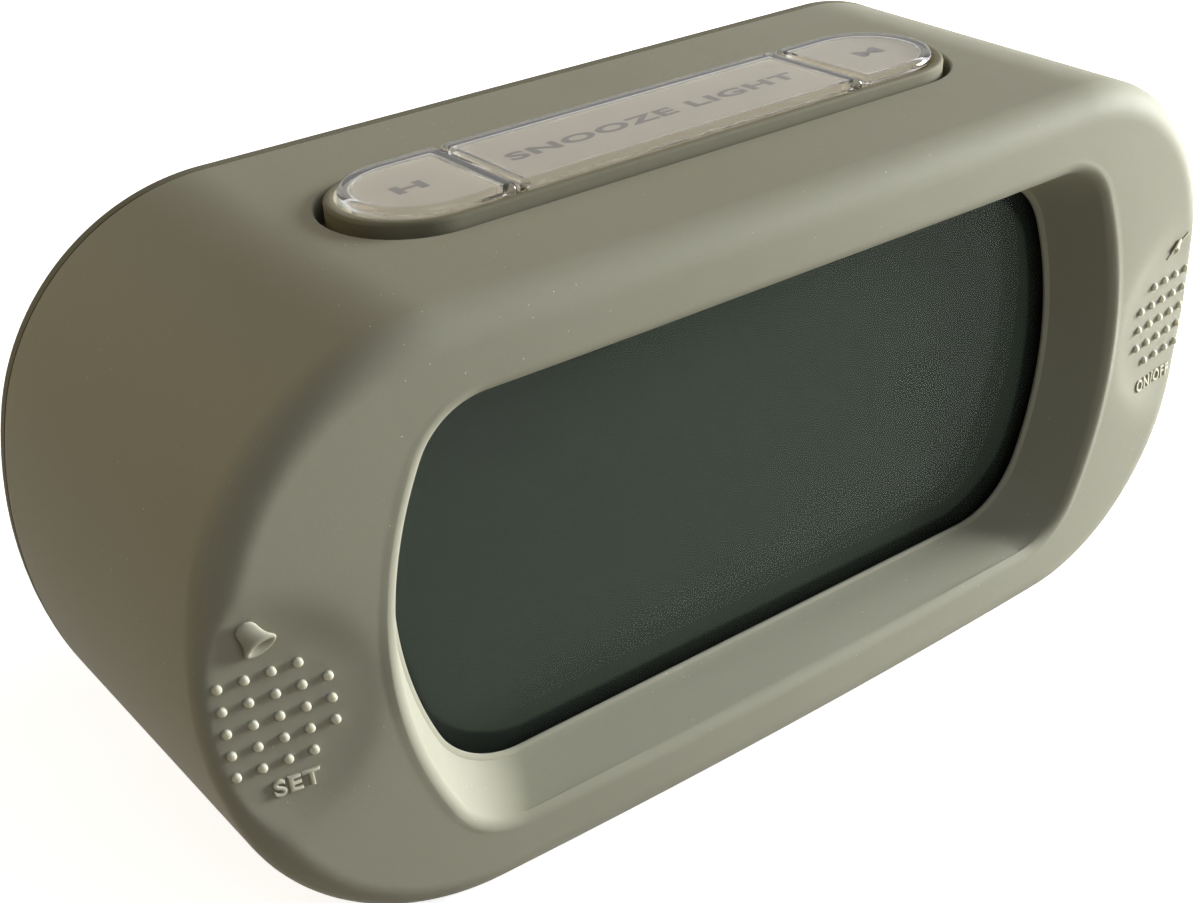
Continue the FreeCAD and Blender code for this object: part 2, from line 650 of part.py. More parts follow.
def silicone_sleeve():
    form = skin_form("sleeve_form")
    sag_radius = (half_width * half_width + S["face_sag"] * S["face_sag"]) / (S["face_sag"] * 2)
    bow = rod("sleeve_bow", "z", 0, front_y + sag_radius, -FAR, sag_radius, 2 * FAR)
    bowed = common("sleeve_bowed", form, bow)

    def front_rim(edge):
        bound = edge.BoundBox
        on_face = bound.YMax < (front_y + S["face_sag"]).number + 10 * NEAR
        return on_face and bound.YMin >= front_y.number - 10 * NEAR
    rounded = round_edges("sleeve_rounded", bowed, S["front_edge_radius"], front_rim)

    past = Size.of(OVER) / S["window_recess"]
    mouth = outline("funnel_mouth",
                    rim_width + S["funnel_end_step"] * 2 * past,
                    rim_height + S["funnel_brow_step"] * 2 * past,
                    S["rim_corner_radius"]
                    + (S["rim_corner_radius"] - S["window_corner_radius"]) * past,
                    S["rim_end_radius"]
                    + (S["rim_end_radius"] - S["window_end_radius"]) * past,
                    front_y - OVER, mid_z)
    throat = outline("funnel_throat", window_width, window_height,
                     S["window_corner_radius"], S["window_end_radius"], lens_y, mid_z)
    funnel = loft("funnel", mouth, throat)
    opened = cut("sleeve_opened", rounded, funnel)

    def mouth_rim(edge):
        bound = edge.BoundBox
        inside = (max(abs(bound.XMin), abs(bound.XMax)) < (rim_width / 2).number + OVER
                  and bound.ZMax < (mid_z + rim_height / 2).number + OVER
                  and bound.ZMin > (mid_z - rim_height / 2).number - OVER)
        return inside and bound.YMax < (front_y + S["face_sag"]).number
    lipped = round_edges("sleeve_lipped", opened, S["rim_lip_radius"], mouth_rim)

    cavity = offset_slab("sleeve_cavity", "housing", S["skin_clearance"], housing_y,
                         S["body_depth"])
    plug = offset_slab("sleeve_lining_plug", "window", S["lining_wall"], housing_y,
                       lens_y - S["lens_gap"] - housing_y)
    hollow = cut("sleeve_hollow", cavity, plug)
    behind = box("sleeve_behind", -FAR, skin_end_y, -FAR, 2 * FAR, FAR, 2 * FAR)
    slot = level_slab("sleeve_key_slot", S["opening_length"], S["opening_width"], key_y,
                      housing_ceiling, FAR)
    dishes = [dish_cutter(word + "_dish", side) for side, word in SIDES]
    wells = [rod(word + "_pad_well", "y", side * pad_x, front_y - OVER, pad_z,
                 S["pad_radius"] + S["pad_gap"], pad_pocket_y - front_y + OVER)
             for side, word in SIDES]
    shell = cut("sleeve_shell", lipped, hollow, behind, slot, *dishes, *wells)

    def slot_rim(edge):
        bound = edge.BoundBox
        narrow = max(abs(bound.YMin), abs(bound.YMax)) < (S["opening_width"] / 2 + OVER).number
        reach = (S["opening_length"] / 2).number + 10 * NEAR
        short = max(abs(bound.XMin), abs(bound.XMax)) < reach
        return narrow and short and bound.ZMin > (skin_top - S["body_draft"]).number
    eased = round_edges("sleeve_eased", shell, S["opening_edge_radius"], slot_rim)
    studs = [stud("sleeve_%s_stud_%d_%d" % (word, column, row + 2), side, column, row)
             for side, word in SIDES for column, row in stud_places()
             if not on_pad(column, row)]
    node("silicone_sleeve", fuse("sleeve", eased, *studs))


def press_pad(side, word, name):
    """Part of the dish that gives way under a finger, with its studs and its post."""
    disc = rod(word + "_pad_disc", "y", side * pad_x, front_y, pad_z, S["pad_radius"],
               pad_back_y - front_y)
    dished = cut(word + "_pad_dished", disc, dish_cutter(word + "_pad_dish", side))
    post = rod(word + "_pad_post", "y", side * pad_x, pad_back_y, pad_z, S["post_radius"],
               S["post_length"])
    studs = [stud("%s_pad_stud_%d_%d" % (word, column + 2, row + 2), side, column, row)
             for column, row in stud_places() if on_pad(column, row)]
    node(name, fuse(name, dished, post, *studs))


# ---------------------------------------------------------------------------------------------
# Housings
# ---------------------------------------------------------------------------------------------
def screw_places(inset, rise):
    """Four places near the corners, as (name, x, z)."""
    for side, word in SIDES:
        for level, tier in ((-1, "lower"), (1, "upper")):
            yield "%s_%s" % (tier, word), side * (half_width - inset), mid_z + level * rise


def front_housing():
    blank = offset_slab("front_blank", "housing", Size.of(0), housing_y,
                        split_y - housing_y)
    cavity = offset_slab("front_cavity", "housing", -S["housing_wall"], housing_inner_y,
                         S["body_depth"])
    tunnel_end_y = lens_back_y + S["lens_gap"] / 2
    tunnel = offset_slab("front_tunnel", "window",
                         S["lining_wall"] + S["tunnel_clearance"] + S["tunnel_wall"],
                         housing_y, tunnel_end_y - housing_y)
    bore = offset_slab("front_bore", "window", S["lining_wall"] + S["tunnel_clearance"],
                       front_y, tunnel_end_y + OVER - front_y)
    bosses = [rod("board_boss_" + where, "y", x, housing_inner_y - ROOT, z,
                  S["board_boss_radius"], board_y - housing_inner_y + ROOT)
              for where, x, z in screw_places(S["board_boss_inset"], board_boss_rise)]
    bosses += [rod("cover_boss_" + where, "y", x, housing_inner_y - ROOT, z,
                   S["cover_boss_radius"], split_y - housing_inner_y + ROOT)
               for where, x, z in screw_places(S["cover_boss_inset"], cover_boss_rise)]
    bosses += [rod("key_board_boss_" + word, "z", side * S["key_board_boss_x"], key_y,
                   key_board_top, S["key_board_boss_radius"],
                   housing_ceiling - key_board_top + ROOT) for side, word in SIDES]
    shell = cut("front_shell", blank, cavity)
    body = cut("front_body", fuse("front_solid", shell, tunnel, *bosses), bore)
    pilot = S["screw_radius"] + S["screw_clearance"]
    holes = [rod("board_pilot_" + where, "y", x, board_y - S["board_screw_length"], z, pilot,
                 S["board_screw_length"])
             for where, x, z in screw_places(S["board_boss_inset"], board_boss_rise)]
    holes += [rod("cover_pilot_" + where, "y", x, split_y - S["cover_screw_length"], z, pilot,
                  S["cover_screw_length"])
              for where, x, z in screw_places(S["cover_boss_inset"], cover_boss_rise)]
    holes += [rod("key_board_pilot_" + word, "z", side * S["key_board_boss_x"], key_y,
                  key_board_top, pilot, S["key_board_screw_length"]) for side, word in SIDES]
    holes += [rod(word + "_pad_pocket", "y", side * pad_x, front_y, pad_z,
                  S["pad_radius"] + S["pad_gap"], pad_pocket_y - front_y)
              for side, word in SIDES]
    holes += [rod(word + "_post_hole", "y", side * pad_x, front_y, pad_z,
                  S["post_radius"] + S["post_clearance"], housing_inner_y - front_y + OVER)
              for side, word in SIDES]
    holes.append(level_slab("front_key_slot", S["collar_bore_length"], S["collar_bore_width"],
                            key_y, housing_ceiling - OVER, FAR))
    node("front_housing", cut("front_housing", body, *holes))


def key_collar():
    height = skin_top + S["collar_proud"] - housing_top
    ring = level_slab("collar_ring", S["collar_length"], S["collar_width"], key_y, housing_top,
                      height)
    bore = level_slab("collar_bore", S["collar_bore_length"], S["collar_bore_width"], key_y,
                      housing_top - OVER, height + 2 * OVER)
    node("key_collar", cut("key_collar", ring, bore))


def slider_x():
    """Middle of the slide switch."""
    return -(half_width - S["slider_inset"])


def buzzer_x():
    return half_width - S["buzzer_inset"]


def sound_hole_places():
    """One hole in the middle and six round it."""
    yield 0.0, 0.0
    for i in range(6):
        turn = math.radians(60 * i)
        yield math.cos(turn), math.sin(turn)


def rear_cover():
    form = skin_form("cover_form")
    behind = box("cover_behind", -FAR, skin_end_y, -FAR, 2 * FAR, FAR, 2 * FAR)
    flange = common("cover_flange_blank", form, behind)

    def back_rim(edge):
        return edge.BoundBox.YMin > back_y.number - NEAR
    plate = round_edges("cover_plate", flange, S["back_edge_radius"], back_rim)
    skirt = cut("cover_skirt",
                offset_slab("cover_skirt_blank", "housing", Size.of(0), split_y,
                            skin_end_y - split_y),
                offset_slab("cover_skirt_cavity", "housing", -S["housing_wall"], split_y - OVER,
                            skin_end_y - split_y + OVER))
    posts = [rod("cover_post_" + where, "y", x, split_y, z, S["cover_boss_radius"],
                 skin_end_y - split_y)
             for where, x, z in screw_places(S["cover_boss_inset"], cover_boss_rise)]
    outer_length = bay_length + S["bay_wall"] * 2
    outer_height = S["bay_height"] + S["bay_wall"] * 2
    bay = centred_box("bay_block", Size.of(0), bay_floor_y - S["bay_wall"], bay_z, outer_length,
                      skin_end_y - bay_floor_y + S["bay_wall"], outer_height)
    ledge_y = bay_mouth_y - S["door_seat_thickness"]
    ledge = centred_box("door_ledge", Size.of(0), ledge_y, bay_z,
                        door_length + S["bay_wall"] * 4, back_y - ledge_y - ROOT,
                        door_height + S["bay_wall"] * 4)
    ring = rod("buzzer_ring", "y", buzzer_x(), skin_end_y - S["buzzer_ring_height"], mid_z,
               S["buzzer_ring_radius"], S["buzzer_ring_height"])
    ring_bore = rod("buzzer_ring_bore", "y", buzzer_x(),
                    skin_end_y - S["buzzer_ring_height"], mid_z,
                    S["buzzer_ring_radius"] - S["buzzer_ring_wall"], S["buzzer_ring_height"])
    solid = fuse("cover_solid", plate, skirt, bay, ledge, cut("buzzer_seat", ring, ring_bore),
                 *posts)
    holes = [centred_box("bay_inside", Size.of(0), bay_floor_y, bay_z, bay_length, FAR,
                         S["bay_height"]),
             centred_box("door_recess", Size.of(0), bay_mouth_y, bay_z,
                         door_length + S["door_gap"] * 2, FAR,
                         door_height + S["door_gap"] * 2)]
    shank_hole = S["screw_radius"] + S["screw_clearance"]
    for where, x, z in screw_places(S["cover_boss_inset"], cover_boss_rise):
        holes.append(rod("cover_hole_" + where, "y", x, split_y - OVER, z, shank_hole,
                         S["body_depth"]))
        holes.append(rod("cover_head_well_" + where, "y", x, split_y + S["cover_seat"], z,
                         S["screw_head_radius"] + S["head_well_clearance"], S["body_depth"]))
    for side, word in SIDES:
        start = door_length / 2 + S["door_gap"]
        socket_depth = S["door_pin_length"] - S["door_gap"] + S["door_pin_clearance"] * 4
        x = start if side > 0 else -start - socket_depth
        holes.append(rod("door_socket_" + word, "x", x, door_axis_y, door_axis_z,
                         S["door_pin_radius"] + S["door_pin_clearance"], socket_depth))
    holes.append(centred_box("slider_recess", slider_x(), back_y - S["slider_recess_depth"],
                             mid_z, S["slider_recess_length"], FAR, S["slider_recess_height"]))
    holes.append(centred_box("slider_slot", slider_x(), skin_end_y - OVER, mid_z,
                             S["slider_knob_length"] + S["slider_travel"]
                             + S["slider_clearance"] * 2,
                             FAR, S["slider_knob_height"] + S["slider_clearance"] * 2))
    for i, (across, up) in enumerate(sound_hole_places()):
        holes.append(rod("sound_hole_%d" % i, "y",
                         buzzer_x() + S["sound_hole_pitch"] * across, skin_end_y - OVER,
                         mid_z + S["sound_hole_pitch"] * up, S["sound_hole_radius"],
                         S["body_depth"]))
    for side, word in SIDES:
        z = bay_z + side * -1 * S["cell_pitch"]
        holes.append(rod("wire_hole_" + word, "x",
                         (bay_length / 2 - ROOT) if side > 0
                         else -(bay_length / 2) - S["bay_wall"] - ROOT,
                         cell_y(), z, S["wire_radius"] + S["wire_clearance"],
                         S["bay_wall"] + 2 * ROOT))
    node("rear_cover", cut("rear_cover", solid, *holes))


def screws(name, length, places, axis):
    """Group of identical screws; each place is (label, x, y, z) of the seat under the head.

    Screws along y have their heads behind the seat, screws along z below it.
    """
    items = []
    for label, x, y, z in places:
        if axis == "y":
            shank = rod("%s_shank_%s" % (name, label), "y", x, y - length, z,
                        S["screw_radius"], length)
            head = rod("%s_head_%s" % (name, label), "y", x, y, z, S["screw_head_radius"],
                       S["screw_head_height"])
        else:
            shank = rod("%s_shank_%s" % (name, label), "z", x, y, z, S["screw_radius"], length)
            head = rod("%s_head_%s" % (name, label), "z", x, y, z - S["screw_head_height"],
                       S["screw_head_radius"], S["screw_head_height"])
        items.append(fuse("%s_%s" % (name, label), shank, head))
    node(name, group(name, items))


# ---------------------------------------------------------------------------------------------
# Display
# ---------------------------------------------------------------------------------------------
def display():
    lens = offset_slab("display_lens", "window",
                       S["lining_wall"] + S["tunnel_clearance"] - S["lens_clearance"], lens_y,
                       S["lens_thickness"])
    node("display_lens", lens)
    node("lcd_front_glass", centred_box("lcd_front_glass", Size.of(0), glass_y, mid_z,
                                        glass_width, S["glass_thickness"],
                                        glass_height))
    rear_height = glass_height - S["glass_ledge"]
    rear_z = mid_z + S["glass_ledge"] / 2
    guide_width = glass_width - S["guide_end_margin"] * 2
    node("lcd_rear_glass", centred_box("lcd_rear_glass", Size.of(0), rear_glass_y, rear_z,
                                       glass_width, S["glass_thickness"], rear_height))
    node("light_guide", centred_box("light_guide", Size.of(0), guide_y, rear_z,
                                    guide_width, S["guide_thickness"],
                                    rear_height - S["guide_brow_margin"] * 2))
    leds = []
    for side, word in SIDES:
        x = side * (guide_width / 2 + S["guide_end_margin"] / 2)
        leds.append(centred_box("side_light_" + word, x, guide_y, rear_z, S["led_width"],
                                board_y - guide_y, S["led_height"]))
    node("side_lights", group("side_lights", leds))
    inner_width = glass_width + S["holder_clearance"] * 2
    inner_height = glass_height + S["holder_clearance"] * 2
    frame = centred_box("holder_block", Size.of(0), glass_y, mid_z,
                        inner_width + S["holder_wall"] * 2, S["holder_depth"],
                        inner_height + S["holder_wall"] * 2)
    inside = centred_box("holder_inside", Size.of(0), glass_y - OVER, mid_z, inner_width,
                         S["holder_depth"] + 2 * OVER, inner_height)
    node("display_holder", cut("display_holder", frame, inside))
    strip_y = glass_y + S["glass_thickness"]
    strip_z = mid_z - glass_height / 2 + S["strip_inset"] + S["strip_height"] / 2
    node("contact_strip", centred_box("contact_strip", Size.of(0), strip_y, strip_z,
                                      glass_width - S["strip_end_margin"] * 2,
                                      board_y - strip_y,
                                      S["strip_height"]))


# ---------------------------------------------------------------------------------------------
# Boards and what is soldered to them
# ---------------------------------------------------------------------------------------------
def main_board():
    plate = offset_slab("board_plate", "housing", -S["housing_wall"] - S["board_clearance"],
                        board_y, S["board_thickness"])
    tools = [box("board_top_cut", -FAR, board_y - OVER, board_top, 2 * FAR,
                 S["board_thickness"] + 2 * OVER, FAR)]
    for where, x, z in screw_places(S["cover_boss_inset"], cover_boss_rise):
        if where.startswith("lower"):
            tools.append(rod("board_notch_" + where, "y", x, board_y - OVER, z,
                             S["cover_boss_radius"] + S["board_clearance"],
                             S["board_thickness"] + 2 * OVER))
    for where, x, z in screw_places(S["board_boss_inset"], board_boss_rise):
        tools.append(rod("board_hole_" + where, "y", x, board_y - OVER, z,
                         S["screw_radius"] + S["screw_clearance"],
                         S["board_thickness"] + 2 * OVER))
    node("main_board", cut("main_board", plate, *tools))


def board_parts():
    node("controller_chip", rod("controller_chip", "y", 0, board_back_y, mid_z - S["chip_drop"],
                                S["chip_radius"], S["chip_height"]))
    node("timing_crystal", rod("timing_crystal", "x", S["crystal_x"],
                               board_back_y + S["crystal_radius"], mid_z - S["crystal_drop"],
                               S["crystal_radius"], S["crystal_length"]))
    node("smoothing_capacitor", rod("smoothing_capacitor", "y", -S["capacitor_x"],
                                    board_back_y, mid_z - S["capacitor_drop"],
                                    S["capacitor_radius"], S["capacitor_height"]))
    row = [centred_box("resistor_%d" % i, S["resistor_x"] + i * S["resistor_pitch"],
                       board_back_y, mid_z + S["resistor_rise"], S["resistor_length"],
                       S["resistor_height"], S["resistor_width"]) for i in range(6)]
    node("chip_resistors", group("chip_resistors", row))


def key_board():
    plate = box("key_board_plate", -(S["key_board_length"] / 2),
                key_y - S["key_board_depth"] / 2, key_board_bottom, S["key_board_length"],
                S["key_board_depth"], S["key_board_thickness"])
    holes = [rod("key_board_hole_" + word, "z", side * S["key_board_boss_x"], key_y,
                 key_board_bottom - OVER, S["screw_radius"] + S["screw_clearance"],
                 S["key_board_thickness"] + 2 * OVER) for side, word in SIDES]
    node("key_board", cut("key_board", plate, *holes))


# ---------------------------------------------------------------------------------------------
# Top keys
# ---------------------------------------------------------------------------------------------
KEYS = ("hour", "snooze", "minute")


def key_span(key):
    """Left and right limit of a key in the row."""
    half_row, half_snooze = S["key_row_length"] / 2, S["snooze_length"] / 2
    if key == "snooze":
        return -half_snooze, half_snooze
    inner = half_snooze + S["key_split_gap"]
    return (-half_row, -inner) if key == "hour" else (inner, half_row)


def key_slab(name, key, inset, bottom, height):
    """Slice of the row's stadium that belongs to one key, inset from its outline."""
    whole = level_slab(name + "_row", S["key_row_length"] - inset * 2,
                       S["key_row_width"] - inset * 2, key_y, bottom, height)
    left, right = key_span(key)
    left, right = left + inset, right - inset
    slice_ = box(name + "_slice", left, -FAR, bottom - OVER, right - left, 2 * FAR,
                 height + 2 * OVER)
    return common(name, whole, slice_)


def key_middle(key):
    """Where the key's stem stands."""
    left, right = key_span(key)
    if key == "snooze":
        return Size.of(0)
    lean = (S["key_row_width"] - (right - left)) / 6
    return (left + right) / 2 + (lean if key == "hour" else -lean)


def top_key(key):
    inset = S["cap_wall"]
    blank = key_slab(key + "_cap_blank", key, Size.of(0), cap_bottom, S["cap_height"])
    pocket = key_slab(key + "_cap_pocket", key, inset, cap_bottom - OVER,
                      plate_top - cap_bottom + OVER)
    node(key + "_key_cap", cut(key + "_key_cap", blank, pocket))

    plate = key_slab(key + "_plate", key, inset + S["cap_clearance"], cap_bottom - ROOT,
                     plate_top - cap_bottom + ROOT)
    shoulder = key_slab(key + "_shoulder", key, Size.of(0), flange_top,
                        cap_bottom - flange_top)
    flange_row = level_slab(key + "_flange_row",
                            S["key_row_length"] + S["flange_overhang"] * 2,
                            S["key_row_width"] + S["flange_overhang"] * 2, key_y,
                            flange_bottom, S["flange_thickness"])
    left, right = key_span(key)
    if key == "hour":
        left = left - S["flange_overhang"]
    if key == "minute":
        right = right + S["flange_overhang"]
    slice_ = box(key + "_flange_slice", left, -FAR, flange_bottom - OVER, right - left,
                 2 * FAR, S["flange_thickness"] + 2 * OVER)
    flange = common(key + "_flange", flange_row, slice_)
    hollow = key_slab(key + "_hollow", key, inset + S["plate_wall"], flange_bottom - OVER,
                      plate_top - S["plate_wall"] - flange_bottom + OVER)
    shell = cut(key + "_carrier_shell", fuse(key + "_carrier", plate, shoulder, flange), hollow)
    stem = rod(key + "_stem", "z", key_middle(key), key_y, stem_bottom, S["stem_radius"],
               plate_top - S["plate_wall"] / 2 - stem_bottom)
    node(key + "_legend_plate", fuse(key + "_legend_plate", shell, stem))

    bore_depth = S["plunger_inside"] + S["key_travel"] + S["plunger_spare"]
    body = box(key + "_switch_block", key_middle(key) - S["tact_side"] / 2,
               key_y - S["tact_side"] / 2, key_board_top, S["tact_side"], S["tact_side"],
               S["tact_height"])
    bore = rod(key + "_switch_bore", "z", key_middle(key), key_y, tact_top - bore_depth,
               S["plunger_radius"] + S["plunger_clearance"], bore_depth + OVER)
    node(key + "_switch", cut(key + "_switch", body, bore))
    node(key + "_plunger", rod(key + "_plunger", "z", key_middle(key), key_y,
                               tact_top - S["plunger_inside"], S["plunger_radius"],
                               S["plunger_inside"] + S["plunger_reach"]))


def side_switch(side, name):
    """Taller switch on the main board behind a press pad."""
    tact_y = post_end_y + S["plunger_reach"]
    bore_depth = S["plunger_inside"] + S["pad_travel"] + S["plunger_spare"]
    body = centred_box(name + "_switch_block", side * pad_x, tact_y, pad_z, S["tact_side"],
                       board_y - tact_y, S["tact_side"])
    bore = rod(name + "_switch_bore", "y", side * pad_x, tact_y - OVER, pad_z,
               S["plunger_radius"] + S["plunger_clearance"], bore_depth + OVER)
    node(name + "_switch", cut(name + "_switch", body, bore))
    node(name + "_plunger", rod(name + "_plunger", "y", side * pad_x, post_end_y, pad_z,
                                S["plunger_radius"],
                                S["plunger_inside"] + S["plunger_reach"]))


# ---------------------------------------------------------------------------------------------
# Power, door, slide switch, buzzer
# ---------------------------------------------------------------------------------------------
def cell_y():
    return bay_floor_y + S["cell_gap"] + S["cell_radius"]


def cell_spring(name, side, z):
    """Coil spring between a contact plate and the flat end of a cell."""
    wire = S["spring_wire_radius"].number
    length = S["spring_length"].number - 2 * wire
    radius = S["spring_radius"].number
    helix = Part.makeHelix(length / 4, length, radius)
    section = Part.Wire(Part.Circle(Vector(radius, 0, 0), Vector(0, 1, 0), wire).toShape())
    coil = Part.Wire(helix).makePipeShell([section], True, True)
    item = new("Part::Feature", name)
    item.Shape = coil
    start = (bay_length / 2 - S["contact_thickness"]).number - wire
    turn = FreeCAD.Rotation(Vector(0, 1, 0), -90 * side)
    item.Placement = FreeCAD.Placement(Vector(side * start, cell_y().number, z.number), turn)
    return item


def batteries():
    cells, plates, springs = [], [], []
    for i in range(3):
        flat_side = -1 if i % 2 == 0 else 1
        z = bay_z + (i - 1) * S["cell_pitch"]
        body_length = S["cell_length"] - S["cell_nub_height"]
        inner = bay_length / 2 - S["contact_thickness"] - S["spring_length"]
        if flat_side < 0:
            start, nub = -inner, -inner + body_length
        else:
            start, nub = inner - body_length, inner - S["cell_length"]
        can = rod("cell_can_%d" % i, "x", start, cell_y(), z, S["cell_radius"], body_length)
        cap = rod("cell_nub_%d" % i, "x", nub, cell_y(), z, S["cell_nub_radius"],
                  S["cell_nub_height"])
        cells.append(fuse("cell_%d" % i, can, cap))
        for side, word in SIDES:
            x = (-(bay_length / 2) if side < 0
                 else bay_length / 2 - S["contact_thickness"])
            plates.append(box("contact_%s_%d" % (word, i), x, cell_y() - S["contact_side"] / 2,
                              z - S["contact_side"] / 2, S["contact_thickness"],
                              S["contact_side"], S["contact_side"]))
        springs.append(cell_spring("cell_spring_%d" % i, flat_side, z))
    node("battery_cells", group("battery_cells", cells))
    node("battery_contacts", group("battery_contacts", plates))
    node("battery_springs", group("battery_springs", springs))


def battery_door():
    axis_z = door_axis_z
    half = S["door_thickness"] / 2
    plate = centred_box("door_plate", Size.of(0), door_y, bay_z + half / 2, door_length,
                        S["door_thickness"], door_height - half)
    heel = rod("door_heel", "x", -(door_length / 2), door_axis_y, axis_z, half, door_length)
    pin_start = -(door_length / 2) - S["door_pin_length"]
    pins = rod("door_pins", "x", pin_start, door_axis_y, axis_z, S["door_pin_radius"],
               door_length + S["door_pin_length"] * 2)
    grip_z = bay_z + door_height / 2 - S["door_grip_drop"]
    grip = rod("door_grip", "y", 0, back_y - S["door_grip_depth"], grip_z,
               S["door_grip_radius"], FAR)
    node("battery_door", cut("battery_door", fuse("door_solid", plate, heel, pins), grip))
    node("door_foam", centred_box("door_foam", Size.of(0), door_y - S["foam_thickness"],
                                  bay_z, S["foam_length"], S["foam_thickness"],
                                  S["foam_height"]))


def slide_switch():
    body_y = skin_end_y - S["slider_body_depth"]
    base_height = S["slider_knob_height"] + S["slider_clearance"] * 2
    channel_y = skin_end_y - S["slider_channel_depth"]
    stroke = S["slider_knob_length"] + S["slider_travel"] + S["slider_clearance"] * 2
    body = centred_box("slider_block", slider_x(), body_y, mid_z, S["slider_body_length"],
                       S["slider_body_depth"], S["slider_body_height"])
    track = centred_box("slider_track", slider_x(), channel_y, mid_z, stroke,
                        S["slider_channel_depth"] + OVER, base_height)
    node("slide_switch", cut("slide_switch", body, track))
    knob_y = channel_y + S["slider_clearance"]
    node("slide_knob", centred_box("slide_knob", slider_x() - S["slider_travel"] / 2, knob_y,
                                   mid_z, S["slider_knob_length"],
                                   back_y - S["slider_knob_sunk"] - knob_y,
                                   S["slider_knob_height"]))


def buzzer():
    seat_y = skin_end_y - S["buzzer_ring_height"]
    disc_y = seat_y - S["buzzer_disc_thickness"]
    node("buzzer_disc", rod("buzzer_disc", "y", buzzer_x(), disc_y, mid_z,
                            S["buzzer_disc_radius"], S["buzzer_disc_thickness"]))
    node("buzzer_ceramic", rod("buzzer_ceramic", "y", buzzer_x(),
                               disc_y - S["buzzer_disc_thickness"], mid_z,
                               S["buzzer_ceramic_radius"], S["buzzer_disc_thickness"]))


# ---------------------------------------------------------------------------------------------
# Wiring
# ---------------------------------------------------------------------------------------------
def wiring():
    for side, word, name in ((-1, "left", "negative_wire"), (1, "right", "positive_wire")):
        z = bay_z + side * -1 * S["cell_pitch"]
        out = bay_length / 2
        foot = out + S["bay_wire_foot"]
        node(name, cable(name, [
            (side * out, cell_y(), z),
            (side * (out + S["bay_wire_lead"]), cell_y(), z),
            (side * (out + S["bay_wire_bow"]), split_y - S["bay_wire_lead"],
             z + S["bay_wire_rise"] / 2),
            (side * foot, board_back_y + S["bay_wire_landing"], z + S["bay_wire_rise"]),
            (side * foot, board_back_y, z + S["bay_wire_rise"])], S["wire_radius"]))
    disc_face = skin_end_y - S["buzzer_ring_height"] - S["buzzer_disc_thickness"] * 2
    pairs = (("buzzer_wires", buzzer_x(), disc_face),
             ("slider_wires", slider_x(), skin_end_y - S["slider_body_depth"]))
    low_z = mid_z - S["wire_drop"]
    for name, x, start_y in pairs:
        wires = []
        for side, word in SIDES:
            beside = x + side * S["wire_spread"]
            wires.append(cable("%s_%s" % (name, word), [
                (beside, start_y, mid_z),
                (beside, start_y - S["wire_lead"], mid_z),
                (x + side * S["wire_pinch"], board_back_y + S["wire_landing"] * 2,
                 mid_z - S["wire_drop"] * 0.6),
                (beside, board_back_y + S["wire_landing"], low_z),
                (beside, board_back_y, low_z)], S["wire_radius"]))
        node(name, group(name, wires))


def key_ribbon():
    """Flat cable, bent once, from the lower side of the key board to the main board."""
    drop_y = key_y - S["key_board_depth"] / 4
    low_z = board_top - S["ribbon_drop"]
    half = S["ribbon_width"] / 2
    down = box("ribbon_down", -half, drop_y, low_z, S["ribbon_width"], S["ribbon_thickness"],
               key_board_bottom - low_z)
    across = box("ribbon_across", -half, board_back_y, low_z, S["ribbon_width"],
                 drop_y - board_back_y + S["ribbon_thickness"], S["ribbon_thickness"])
    joined = fuse("ribbon_joined", down, across)

    def bend(edge):
        bound = edge.BoundBox
        flat = bound.YLength < NEAR and bound.ZLength < NEAR
        outer = (bound.ZMax < low_z.number + NEAR
                 and bound.YMax > (drop_y + S["ribbon_thickness"]).number - NEAR)
        return flat and outer
    node("key_ribbon", round_edges("key_ribbon", joined, S["ribbon_thickness"] * 0.9, bend))


# ---------------------------------------------------------------------------------------------
# Assembly
# ---------------------------------------------------------------------------------------------
silicone_sleeve()
press_pad(-1, "left", "set_pad")
press_pad(1, "right", "alarm_pad")
front_housing()
key_collar()
rear_cover()
display()
main_board()
board_parts()
key_board()
for key_name in KEYS:
    top_key(key_name)
side_switch(-1, "set")
side_switch(1, "alarm")
batteries()
battery_door()
slide_switch()
buzzer()
wiring()
key_ribbon()
screws("board_screws", S["board_screw_length"],
       [(where, x, board_back_y, z)
        for where, x, z in screw_places(S["board_boss_inset"], board_boss_rise)], "y")
screws("cover_screws", S["cover_screw_length"],
       [(where, x, split_y + S["cover_seat"], z)
        for where, x, z in screw_places(S["cover_boss_inset"], cover_boss_rise)], "y")
screws("key_board_screws", S["key_board_screw_length"],
       [(word, side * S["key_board_boss_x"], key_y, key_board_bottom)
        for side, word in SIDES], "z")
doc.recompute()

# ---------------------------------------------------------------------------------------------
# Every object is sound before anything is written
# ---------------------------------------------------------------------------------------------
for item in doc.Objects:
    if "Invalid" in item.State or "Error" in item.State:
        raise RuntimeError("%s failed: %s" % (item.Name, item.State))
for item in nodes:
    if item.Shape.isNull() or not item.Shape.isValid() or not item.Shape.Solids:
        raise RuntimeError("%s has no sound shape" % item.Label)

os.makedirs("parts", exist_ok=True)
for item in nodes:
    item.Shape.exportStep("parts/%s.step" % item.Label)
    bounds = item.Shape.BoundBox
    print("%-22s %2d solids %10.1f mm3  x %.1f..%.1f  y %.1f..%.1f  z %.1f..%.1f" % (
        item.Label, len(item.Shape.Solids), item.Shape.Volume, bounds.XMin, bounds.XMax,
        bounds.YMin, bounds.YMax, bounds.ZMin, bounds.ZMax))
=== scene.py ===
"""Looks of a free-standing digital alarm clock in a soft silicone skin.

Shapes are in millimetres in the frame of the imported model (+X right, +Y back, +Z up, origin under
the middle of the clock) and are scaled to metres when a mesh is made.
"""
import json
import math
import bmesh
import bpy
import numpy as np
from mathutils import Matrix, Vector

